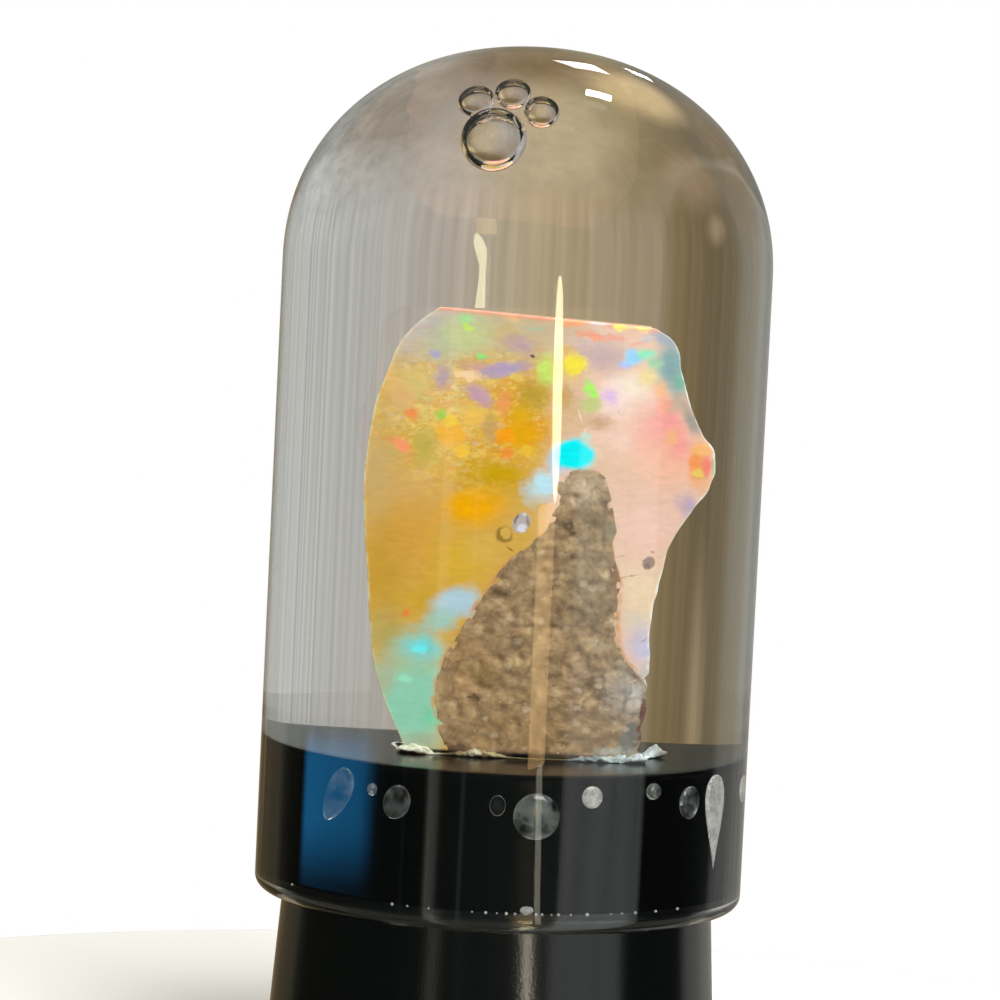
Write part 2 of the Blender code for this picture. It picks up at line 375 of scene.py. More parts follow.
ROCK_MARKS = (  # what, (x, z), reach, colour, strength, softness and, where it leans, turn
    ("warm foot", (0.5, 26.6), (5.6, 3.4), "#8E6E40", 0.6, 1.0),
    ("warm left", (-2.2, 31.0), (2.8, 5.0), "#A88350", 0.65, 1.0),
    ("opal showing through the left edge", (-3.8, 29.2), (0.55, 2.6), "#CDB06E", 0.85, 0.9),
    ("grey head", (3.4, 42.5), (1.9, 1.8), "#BFA888", 0.85, 0.8),
    ("olive middle", (3.9, 37.0), (2.0, 5.4), "#8C7C5E", 0.6, 1.0),
    ("grey right", (6.4, 29.6), (2.2, 3.0), "#9C968A", 0.8, 0.9),
    ("haze of opal over its shoulder", (5.0, 39.9), (1.0, 0.9), "#8F8468", 0.8, 0.9),
    ("chalky corner", (6.7, 29.3), (0.55, 1.4), "#BBB8B0", 0.75, 0.9, -15),
    ("broken grey facet", (6.5, 26.7), (0.62, 1.25), "#6E6B60", 1.0, 0.35, -15),
    ("red-brown side", (7.2, 27.6), (0.36, 2.2), "#5E2E1E", 1.0, 0.4),
    # painted shade in hollows of the flat face, from the teardrop hollow down to the foot
    ("teardrop hollow", (2.75, 40.1), (0.4, 0.7), "#584428", 0.95, 0.6, 15),
    ("dark hollow", (4.5, 30.3), (0.72, 0.5), "#63442F", 0.9, 0.8, 15),
    ("dark hollow low", (3.7, 28.5), (0.42, 0.5), "#5E4834", 0.9, 0.7),
    ("dark hollow foot", (2.9, 26.7), (0.75, 0.3), "#664E34", 0.8, 0.8, 30),
    ("olive stain", (-1.2, 30.2), (1.0, 1.3), "#77632A", 0.7, 1.0),
    ("olive seam", (-1.75, 28.75), (0.46, 0.11), "#463514", 0.9, 0.6),
    ("short seam", (-1.75, 29.0), (0.1, 0.24), "#513E16", 0.9, 0.6),
    ("film of glue over the foot", (5.7, 25.7), (1.7, 0.4), "#96A09A", 0.75, 0.8),
    # painted shade along the foot of the lump, where it meets the stopper
    ("dark foot", (-2.6, 25.5), (1.6, 0.4), "#563820", 0.9, 0.8),
    ("dark foot right", (2.4, 25.3), (4.6, 0.4), "#52402C", 0.85, 0.9),
    # painted shade in two small hollows of the head, and under the head
    ("left head hollow", (3.1, 42.9), (0.26, 0.2), "#83704E", 0.8, 0.7),
    ("right head hollow", (4.4, 41.9), (0.24, 0.28), "#846F52", 0.8, 0.7),
    ("rust along the right contact", (5.45, 37.0), (0.3, 1.4), "#A0603C", 0.7, 0.9),
    ("hollow under the head", (3.6, 40.9), (1.2, 0.3), "#8A7656", 0.6, 0.9),
    ("dark grains", (3.1, 36.4), (0.4, 0.5), "#6E5A3E", 0.7, 0.9),
    ("dark grains low", (4.0, 34.6), (0.6, 0.4), "#6E5C42", 0.7, 0.9),
    ("pale grains", (2.6, 33.6), (0.7, 0.6), "#AE9A78", 0.6, 0.9),
    ("pale grains left", (-2.2, 33.4), (0.5, 0.4), "#B9A27C", 0.6, 0.9, 30),
    ("pale grains right", (4.6, 32.6), (0.8, 0.5), "#B3A286", 0.6, 0.9, -30),
)


def tuff():
    """Volcanic tuff: tan ground with paler and darker grains, brown iron-stained pits, painted shade in its
    hollows and along its foot, quite matt.
    """
    material, tree, shader = new_material("rhyolite tuff", Roughness=0.75)
    in_mm = millimetres(tree)
    broad = add(tree, "TexNoise", {"Vector": in_mm, "Scale": 1.3, "Detail": 3.0, "Roughness": 0.55})
    ground = add(tree, "ValToRGB", {"Fac": broad.outputs["Fac"]})
    ramp = ground.color_ramp
    ramp.elements[0].position, ramp.elements[0].color = 0.3, linear("#6C5434")
    ramp.elements[1].position, ramp.elements[1].color = 0.68, linear("#B2966A")
    ramp.elements.new(0.48).color = linear("#917650")
    # the marks, with painted shade in hollows and along the foot among them
    colour = patches(tree, ground.outputs[0], nudged(tree, in_mm, 2.0, 0.9), ROCK_MARKS)
    # clods a little over a millimetre across, lighter and darker, some with a soft dark seam round them
    clods = nudged(tree, in_mm, 1.6, 0.8)
    cells = add(tree, "TexVoronoi", {"Vector": clods, "Scale": 0.8})
    tone = add(tree, "SeparateColor", {0: cells.outputs["Color"]})
    colour = shaded(tree, colour, tone.outputs[1], 0.0, 1.0, 0.88, 1.14)
    edges = add(tree, "TexVoronoi", {"Vector": clods, "Scale": 0.8}, feature="DISTANCE_TO_EDGE")
    near = add(tree, "MapRange", {"Value": edges.outputs["Distance"], "From Min": 0.17, "From Max": 0.0})
    some = add(tree, "MapRange", {"Value": tone.outputs[2], "From Min": 0.3, "From Max": 0.8, "To Max": 0.4})
    seam = add(tree, "Math", {0: near.outputs[0], 1: some.outputs[0]}, operation="MULTIPLY")
    colour = add(
        tree, "Mix", {"Factor": seam.outputs[0], 6: colour, 7: linear("#54422A")}, data_type="RGBA",
    ).outputs[2]
    # grains of half and a third of a millimetre, some chalky and some dark, over a fine mottle
    bent = nudged(tree, in_mm, 4.0, 0.3)
    for scale, pale, dark, core in ((1.9, 0.45, 0.4, 0.2), (3.2, 0.45, 0.6, 0.45)):
        grains = add(tree, "TexVoronoi", {"Vector": bent, "Scale": scale})
        tone = add(tree, "SeparateColor", {0: grains.outputs["Color"]})
        middle = add(
            tree, "MapRange",
            {"Value": grains.outputs["Distance"], "From Min": 0.75 - core, "From Max": 0.5 - core},
        )
        for channel, code, most in ((0, "#CCBA98", pale), (1, "#4E3B22", dark)):
            chosen = add(
                tree, "MapRange",
                {"Value": tone.outputs[channel], "From Min": 0.68, "From Max": 0.95, "To Max": most},
            )
            both = add(tree, "Math", {0: chosen.outputs[0], 1: middle.outputs[0]}, operation="MULTIPLY")
            colour = add(
                tree, "Mix", {"Factor": both.outputs[0], 6: colour, 7: linear(code)}, data_type="RGBA",
            ).outputs[2]
    mottle = add(tree, "TexNoise", {"Vector": in_mm, "Scale": 4.0, "Detail": 2.0, "Roughness": 0.5})
    colour = shaded(tree, colour, mottle.outputs["Fac"], 0.3, 0.7, 0.89, 1.13)
    tree.links.new(colour, shader.inputs["Base Color"])
    bump = add(tree, "Bump", {"Height": mottle.outputs["Fac"], "Strength": 0.25, "Distance": 0.06 * MM})
    tree.links.new(bump.outputs[0], shader.inputs["Normal"])
    return material


def wavy(outline, soften, size, height, seed):
    """An edge function with small bumps: the outline at z, plus noise along z."""
    def across(z):
        along = np.stack((0 * z, 0 * z, z), -1)
        return edge_at(outline, z, soften) + height * smooth_noise(along, size, seed)
    return across


rock_heights = np.linspace(FOOT_Z, ROCK_TOP_Z, 110)
rock_points, rock_faces = slab(
    wavy(ROCK_LEFT, 0.3 * MM, 0.7 * MM, 0.09 * MM, 11), wavy(ROCK_RIGHT, 0.3 * MM, 0.7 * MM, 0.09 * MM, 12),
    rock_heights, FRONT_Y - 0.02 * MM, BACK_Y, 0.06 * MM, rounded_rectangle(80, 3, 30), 0.3 * MM, rock_shape,
)
rock = add_piece("host_rock_lump", rock_points, rock_faces, [tuff()])
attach(rock, "root")
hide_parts("host_rock")


# Opal. A slab of translucent precious opal, sawn and polished in front and broken on its other sides. Its
# silica spheres throw patches of pure colour, broad soft ones in the body and fine flakes near the top left.
OPAL_TOP_Z = 53.75 * MM
OPAL_LEFT = (
    (25.0, -5.1), (26.6, -5.7), (28.2, -6.4), (30.2, -7.0), (32.0, -7.3), (34.3, -7.5), (36.7, -7.7),
    (39.4, -7.95), (42.0, -8.1), (44.6, -8.0), (47.2, -7.7), (49.8, -6.95), (50.9, -6.65), (51.8, -6.25),
    (53.0, -5.3), (53.6, -4.5), (54.5, -3.9),
)
OPAL_RIGHT = (
    (25.0, 1.0), (29.0, 3.5), (30.0, 6.2), (30.7, 7.35), (33.3, 7.3), (35.4, 7.4), (37.0, 7.75),
    (38.8, 8.05), (40.0, 8.6), (41.9, 9.6), (42.9, 10.35), (43.9, 10.65), (45.5, 10.45), (46.5, 9.8),
    (48.5, 9.0), (50.7, 8.4), (52.3, 8.15), (53.0, 7.85), (53.4, 7.45), (53.65, 6.9), (54.5, 6.0),
)


def opal_shape(points, out):
    """Polished flat in front; broken and wavy, always inwards, on the sides and the back.

    The face and the back step in by 0.7 mm where the rock lump shows there."""
    x, _, z = points.T
    broken = np.clip(1.2 + out[:, 1] * 1.4, 0, 1)
    waves = 0.25 * smooth_noise(points, 3.2 * MM, 21) + 0.12 * smooth_noise(points, 1.1 * MM, 22)
    chips = 0.05 * smooth_noise(points, 0.45 * MM, 23)
    inside = np.minimum(x - edge_at(ROCK_LEFT, z, 0.3 * MM), edge_at(ROCK_RIGHT, z, 0.3 * MM) - x)
    inside = np.minimum(inside, ROCK_TOP_Z - z) - 0.25 * MM
    hollow = np.clip(inside / (0.4 * MM), 0, 1) * (np.abs(out[:, 1]) > 0.5) * 0.7 * MM
    return broken * (waves + chips - 0.32) * MM - hollow


BODY_COLOURS = (
    ("sandy top", (-1.6, 52.6), (7.0, 3.4), "#CDBF9C", 1.0, 0.8),
    ("grey top left", (-5.4, 52.4), (4.1, 4.1), "#C6C0B6", 1.0, 0.9),
    ("yellow upper left", (-4.7, 48.2), (4.3, 3.7), "#D6C78E", 0.95, 1.0),
    ("tan left edge", (-7.6, 43.6), (2.1, 7.9), "#CFB276", 0.9, 1.0),
    ("golden", (-3.4, 46.2), (3.4, 3.7), "#EEC766", 0.85, 1.0, 15),
    ("sand left", (-5.6, 42.2), (2.7, 2.9), "#DDB36E", 0.8, 1.0),
    ("amber", (-0.3, 46.2), (2.4, 4.6), "#E6A60E", 1.0, 0.85, -15),
    ("olive gold", (-1.3, 43.0), (2.7, 2.4), "#D2A410", 1.0, 0.9),
    ("low left", (-5.4, 38.8), (3.7, 4.4), "#DCA648", 0.9, 1.0),
    ("bronze left edge", (-7.0, 36.4), (2, 5.4), "#CDA23A", 0.9, 1.0),
    ("gold middle", (-3.0, 37.4), (2.7, 3.2), "#E2B636", 0.9, 1.0),
    ("orange gold", (-2.3, 41.0), (2.4, 1.8), "#F4B000", 1.0, 0.8, 15),
    ("amber low", (-4.6, 34.9), (2.7, 2.3), "#D8AC36", 0.9, 1.0),
    ("yellow by the rock", (-1.6, 38.4), (1.6, 1.5), "#E2BC58", 0.8, 1.0, 45),
    ("olive low left", (-6.6, 32.6), (2, 2.4), "#BDB068", 0.9, 1.0),
    ("mint foot", (-5.0, 28.3), (3.2, 4.8), "#9ADABC", 1.0, 0.7),
    ("grey-green rim", (-6.9, 29.0), (0.98, 3.9), "#B4C4A2", 0.9, 0.8, -15),
    ("grey foot", (-4.5, 25.6), (2, 1.2), "#A6B79E", 0.9, 1.0),
    ("pale blue", (-2.7, 34.9), (1.9, 1.25), "#BAD8E2", 1.0, 0.75, 15),
    ("aqua low", (-4.5, 31.9), (2.1, 1.6), "#84E0DA", 1.0, 0.9),
    ("peach top", (0.2, 52.5), (2.9, 1.3), "#CFBD98", 0.9, 1.0),
    ("rose top", (3.4, 51.5), (2.9, 1.5), "#DEC6BC", 0.9, 1.0),
    ("tan by the cyan", (2.7, 47.4), (1.8, 3.2), "#DDBB92", 0.85, 1.0),
    ("peach beside the rock", (5.0, 43.6), (2, 3.2), "#E6C3A0", 0.8, 1.0),
    ("cream", (6.1, 48.8), (2.4, 2.3), "#FBEED8", 1.0, 0.9),
    ("pale pink", (4.8, 48.5), (1.3, 1.7), "#FDE0DC", 0.9, 1.0),
    ("pink white", (5.4, 46.0), (2.3, 2.4), "#F8D5C0", 0.9, 1.0),
    ("coral", (7.5, 46.4), (2.5, 3.7), "#FBB2A4", 1.0, 0.9, 15),
    ("coral low", (7.5, 44.2), (2.8, 2.6), "#FFC4A6", 0.95, 1.0),
    ("peach low", (5.9, 42.2), (3.2, 2.9), "#EDC8AF", 0.8, 1.0),
    ("pink low", (6.7, 40.2), (2.3, 2.4), "#FACEBE", 0.9, 1.0),
    ("lavender right", (9.0, 41.5), (1.2, 1.3), "#C6B0C2", 1.0, 1.0, 45),
    ("orange point", (9.8, 44.3), (1.35, 2.3), "#F9AE70", 1.0, 0.9),
    ("teal right", (8.2, 50.2), (1.8, 3.3), "#98B8B2", 0.95, 0.9, 15),
    ("cream low", (6.6, 36.2), (2, 2.7), "#F2DBB4", 0.95, 1.0),
    ("grey cream", (6.4, 34.2), (1.7, 1.3), "#E0D5BC", 0.9, 1.0),
    ("lavender low", (6.8, 32.7), (1.3, 1.8), "#C9C8DE", 1.0, 0.9),
    ("grey low", (7.1, 30.9), (1.0, 1.2), "#C2C2BC", 0.9, 0.8),
)
GLOW = (  # smooth patches, mostly at the right
    ("mauve", (4.03, 50.99), (2.13, 1.54), "#C9AFAC", 0.9, 0.9),
    ("grey-blue corner", (7.37, 52.41), (1.19, 0.77), "#A8B2BC", 0.95, 0.7, -30),
    ("teal", (7.71, 50.72), (1.23, 1.84), "#8EB0B2", 0.95, 0.8, -15),
    ("teal low", (8.32, 49.74), (0.74, 0.77), "#84BBA4", 0.9, 0.8, -30),
    ("lavender-blue", (5.25, 50.67), (0.59, 0.5), "#B6C6FC", 0.95, 0.8),
    ("blue", (5.64, 51.12), (0.73, 0.73), "#9EDAFF", 1, 0.7),
    ("aqua", (6.34, 51.35), (0.73, 0.57), "#98ECC4", 1, 0.7),
    ("green aqua", (6.82, 50.74), (0.65, 0.55), "#A6DAAC", 0.9, 0.8),
    ("pale yellow", (6.5, 49.85), (0.85, 0.9), "#F4DF98", 0.95, 0.9),
    ("apricot high", (7.15, 49.06), (0.68, 1.03), "#FCC290", 0.95, 0.9),
    ("salmon pink", (7.46, 48.07), (0.75, 1.03), "#FFB296", 0.95, 0.9),
    ("pink", (7.77, 46.99), (1.01, 1.22), "#FFAAA4", 1, 0.9),
    ("pink low", (8.37, 45.62), (0.96, 1.54), "#FFAC9E", 1, 0.9),
    ("apricot", (7.91, 46.14), (0.64, 1.03), "#FFC08A", 0.85, 0.9),
    ("grey tan", (8.25, 48.34), (0.8, 1.22), "#CDB69E", 0.9, 0.9, -30),
    ("grey by the edge", (9.12, 47.21), (1.67, 0.59), "#A6A298", 0.95, 0.8, -60),
    ("orange flake", (9.64, 45.32), (0.73, 0.52), "#FFC27C", 1, 0.6, 15),
    ("orange flake low", (9.35, 44.57), (0.64, 0.77), "#FFA25E", 1, 0.7),
    ("red-pink flake", (10.05, 44.28), (0.4, 0.83), "#FF907E", 1, 0.7),
    ("yellow flake", (9.56, 43.87), (0.51, 0.35), "#F4D66E", 1, 0.6, -30),
    ("grey-green rim", (10.52, 44.84), (0.27, 1.66), "#A6C2A0", 0.95, 0.7),
    ("cyan halo", (2.11, 44.32), (0.93, 1.13), "#A4E0FF", 0.95, 0.8),
    ("cyan", (2.84, 44.75), (1.35, 1.25), "#00F8FF", 1, 0.42),
    ("cyan fringe", (3.42, 45.9), (0.49, 0.43), "#C2E8D8", 0.85, 0.8, -30),
)
FLAKES = (  # patches that break up into small flat facets
    ("grey-green", (-4.15, 51.41), (1.76, 1.84), "#BFC6A2", 0.8, 0.9),
    ("green haze", (-2.92, 52.08), (2, 1.84), "#CAD694", 0.85, 0.9),
    ("tan", (-0.86, 52.21), (1.29, 0.99), "#D6BD80", 0.8, 0.9),
    ("green fleck high", (-3.1, 53.06), (0.63, 0.51), "#AEE09C", 0.95, 0.7),
    ("yellow-green fleck", (-2.87, 52.56), (0.43, 0.3), "#D0EA74", 0.95, 0.6, -15),
    ("green fleck", (-2.15, 50.72), (0.44, 0.41), "#90EC82", 1, 0.6),
    ("lavender bead", (-4.54, 50.65), (0.43, 0.37), "#B2AED6", 0.85, 0.8),
    ("lilac left", (-4.13, 49.27), (0.65, 1.25), "#C0A8B2", 0.9, 0.8),
    ("lavender cloud", (-0.22, 51.57), (1.41, 0.92), "#C3A4AA", 0.85, 0.9, -30),
    ("rose wisp", (-2.29, 49.9), (1.29, 0.68), "#D4A2A0", 0.8, 0.9),
    ("lavender wisp", (-0.98, 49.94), (2.02, 0.61), "#BAA6C2", 1, 0.7, 15),
    ("lilac", (-2.18, 48.19), (1.31, 0.73), "#CAA2B2", 0.95, 0.7, -45),
    ("cream flecks", (-2.82, 49.44), (0.95, 0.48), "#FAD8A6", 1, 0.6),
    ("aqua wisp", (0.53, 52.64), (0.76, 0.26), "#AECEAE", 0.9, 0.8),
    ("peach fleck", (-0.66, 53.21), (0.51, 0.34), "#F4C88C", 0.9, 0.7),
    ("yellow-green", (1.25, 50.03), (0.82, 1.57), "#CDEE72", 1, 0.8),
    ("khaki", (0.6, 48.36), (1.29, 1.56), "#BEA03A", 0.9, 0.9),
    ("amber high", (-0.04, 47.12), (1.03, 0.92), "#E2B01C", 1, 0.8, 30),
    ("amber facet", (0.04, 45.84), (1.42, 1.46), "#EBAC08", 1, 0.7),
    ("orange facet", (-0.71, 45.71), (0.67, 0.62), "#FFA816", 1, 0.5, -15),
    ("orange bar", (-0.89, 47.76), (0.46, 1.25), "#F2A25E", 0.9, 0.8),
    ("orange ember", (-0.66, 44.58), (0.45, 0.55), "#F69A38", 1, 0.6, -30),
    ("yellow flecks", (0.39, 44.83), (0.57, 0.53), "#F0C63C", 0.95, 0.6, -30),
    ("tan column", (-1.55, 46.09), (0.54, 1.7), "#CCA864", 0.85, 0.8),
    ("gold flake", (-3.58, 45.7), (1.18, 1.08), "#FABC42", 1, 0.6, -15),
    ("gold flake low", (-2.94, 44.62), (0.52, 0.59), "#FCCC46", 1, 0.6),
    ("gold flake high", (-3.64, 46.55), (0.49, 0.39), "#F4D040", 1, 0.6, -15),
    ("gold flake right", (-2.38, 46.89), (0.81, 0.95), "#F4C65A", 0.95, 0.7),
    ("salmon tail", (-6.73, 45.1), (0.82, 0.42), "#E6A05A", 0.85, 0.8, -15),
    ("salmon", (-6.11, 44.76), (0.83, 0.53), "#FFA270", 1, 0.6, -45),
    ("peach flecks", (-6.13, 48.11), (1.18, 1.63), "#E6B878", 0.9, 0.9),
    ("orange spot", (-5.62, 46.85), (0.56, 0.63), "#F49A54", 1, 0.7),
    ("yellow wisps", (-5.52, 48.83), (1.03, 1.11), "#E0C87C", 0.9, 0.8),
    ("green spot", (-4.18, 46.95), (0.4, 0.53), "#B2D65A", 1, 0.6),
    ("green olive", (-4.87, 44.84), (1, 1.99), "#C6B656", 0.9, 0.9),
    ("olive gold low", (-0.92, 43.25), (1.79, 0.92), "#D2A806", 1, 0.8),
    ("tan rim", (-6.89, 49), (0.43, 1.31), "#EABC78", 0.85, 0.8),
    ("peach by the yellow", (2.2, 51.42), (0.79, 0.59), "#EABF78", 0.85, 0.8),
    ("yellow fringe", (2.34, 50.27), (1.38, 1.48), "#ECCE66", 0.8, 0.9),
    ("yellow", (2.64, 50.52), (0.77, 0.89), "#FFEA48", 1, 0.5, 15),
    ("khaki under the yellow", (2.19, 48.4), (0.75, 1.28), "#D2A860", 0.85, 0.9),
    ("green olive right", (3.56, 47.98), (0.84, 0.95), "#C6D07E", 0.95, 0.8),
    ("green", (3.52, 48.94), (0.73, 0.47), "#B0F468", 1, 0.5, -60),
    ("lilac star", (4.57, 48.54), (0.57, 0.78), "#E4C0E8", 0.95, 0.8),
    ("brown tan", (4.01, 46.8), (1.28, 0.77), "#D2A680", 0.85, 0.9),
    ("pale side of the rock", (0.6, 42.0), (0.69, 1.3), "#C4CFC8", 0.8, 0.9, 15),
    ("ice", (1.35, 42.7), (1.1, 1.4), "#C2EEFC", 1.0, 0.8),
    ("orange over gold", (-2.3, 41.0), (1.5, 0.9), "#FBB400", 0.9, 0.7, -15),
    ("ember", (-3.6, 41.9), (0.34, 0.25), "#F09A52", 0.8, 0.9),
    ("ember low", (-5.4, 34.0), (0.3, 0.48), "#F68E3C", 0.95, 0.8),
    ("ember low left", (-6.3, 33.6), (0.57, 0.29), "#E0A05A", 0.7, 0.9, 30),
    ("cyan low", (-4.6, 31.85), (0.62, 0.56), "#74FCFF", 1.0, 0.8),
    ("mint tip", (-3.8, 27.4), (0.92, 1), "#80DEB2", 0.9, 0.9),
    ("aqua between", (-3.7, 33.6), (1.5, 1.1), "#A4D4C6", 0.9, 0.8, 30),
    ("mint flecks", (-5.4, 29.8), (0.8, 0.34), "#A6F0CC", 0.8, 0.9, -30),
)
TOP = (  # along the top edge
    ("salmon band", (3.47, 52.39), (1.19, 0.38), "#F4A684", 0.95, 0.7, -15),
    ("salmon band right", (4.7, 52.31), (0.95, 0.34), "#F0AC96", 0.9, 0.8),
    ("salmon fleck", (5.8, 52.0), (0.55, 0.2), "#F6B4A4", 0.9, 0.7, 15),
    ("peach top", (2.5, 53.21), (1.29, 0.37), "#F8B486", 0.95, 0.6),
    ("grey-white top", (3.75, 53.18), (0.73, 0.29), "#DDD7D2", 0.95, 0.6),
    ("yellow top", (4.86, 53.01), (0.53, 0.37), "#FFE87C", 1, 0.5, -15),
    ("pale yellow top", (5.91, 53), (0.86, 0.25), "#F8E492", 1, 0.6),
    ("grey gap", (6.35, 52.35), (0.6, 0.32), "#D6CCC6", 0.95, 0.7),
)
# among the marks: painted highlights on a fracture and in the cavity, and painted shade on the cavity's walls
DETAILS = (
    ("fracture glint", (3.05, 47.2), (0.05, 0.62), "#F6F2EA", 0.8, 0.7, 15),
    ("fracture glint low", (3.35, 46.3), (0.05, 0.42), "#F2ECD8", 0.7, 0.7, -30),
    ("dark speck", (0.42, 50.9), (0.16, 0.11), "#4C3A4C", 0.9, 0.5, -15),
    ("cavity", (0.3, 40.2), (0.55, 0.82), "#BCB6B4", 0.95, 0.4, -15),
    ("cavity wall", (0.02, 40.45), (0.1, 0.5), "#756C60", 0.8, 0.6, -15),
    ("cavity wall right", (0.62, 40.3), (0.09, 0.45), "#80776A", 0.7, 0.6, 15),
    ("cavity glint", (0.32, 39.85), (0.3, 0.38), "#E2E4F2", 0.95, 0.5, -30),
    ("cavity glint high", (0.42, 40.75), (0.16, 0.16), "#D8E0E0", 0.8, 0.6),
    ("cavity glint left", (-0.3, 39.2), (0.14, 0.1), "#E8E4D0", 0.8, 0.6),
    ("seam round a grain", (-0.55, 39.4), (0.52, 0.62), "#8E6E22", 0.85, 0.35),
    ("grain in the seam", (-0.48, 39.5), (0.36, 0.46), "#DDB356", 1.0, 0.35),
    ("seam to the rock", (-0.2, 38.5), (0.34, 0.07), "#7E5C2C", 0.8, 0.6, -45),
    ("inclusion", (7.02, 37.95), (0.38, 0.52), "#9C877A", 0.95, 0.3, -15),
    ("inclusion tip", (7.2, 38.7), (0.14, 0.12), "#A68C7C", 0.8, 0.6),
    ("dark in the inclusion", (6.95, 37.8), (0.18, 0.24), "#7E6A60", 0.7, 0.6),
    ("crack", (5.45, 38.3), (0.45, 0.035), "#A4745C", 0.8, 0.5, 15),
    ("crack low", (5.9, 37.05), (0.85, 0.035), "#B08A70", 0.85, 0.5, 15),
    ("crack at the lavender", (6.95, 32.95), (0.45, 0.03), "#7E7C9C", 0.85, 0.5, 45),
    ("speck in the cream", (5.0, 47.6), (0.06, 0.06), "#A88C84", 0.8, 0.5),
)
BEHIND = (
    ("green", (-3.5, 46.0), (2.6, 2.0), "#8ED8A0", 0.8, 0.9, 15),
    ("orange", (-1.0, 40.0), (2.4, 1.8), "#F0A040", 0.8, 0.9, -30),
    ("blue", (5.0, 47.5), (1.9, 2.4), "#A4DCF4", 0.8, 0.9),
    ("red", (-5.0, 36.5), (1.4, 2.0), "#F09070", 0.8, 0.9, 15),
    ("lilac", (2.5, 50.5), (2.6, 1.2), "#CDB4D4", 0.8, 0.9),
)


PINFIRE = (  # flecks a millimetre, middle (x, z) and reach of the zone that has them, strength
    (1.1, (-3.2, 46.8), (5.4, 5.4), 0.3),
    (2.4, (-2.8, 47.4), (6.4, 6.8), 0.38),
    (4.6, (-2.6, 47.2), (6.0, 6.0), 0.45),
)
FIRE_COLOURS = (
    (0.2, "#F8DA74"), (0.4, "#DDA43C"), (0.55, "#F4DC94"), (0.7, "#F0A050"), (0.78, "#D2AA34"),
    (0.86, "#CCD07C"), (0.92, "#F08C5C"),
)


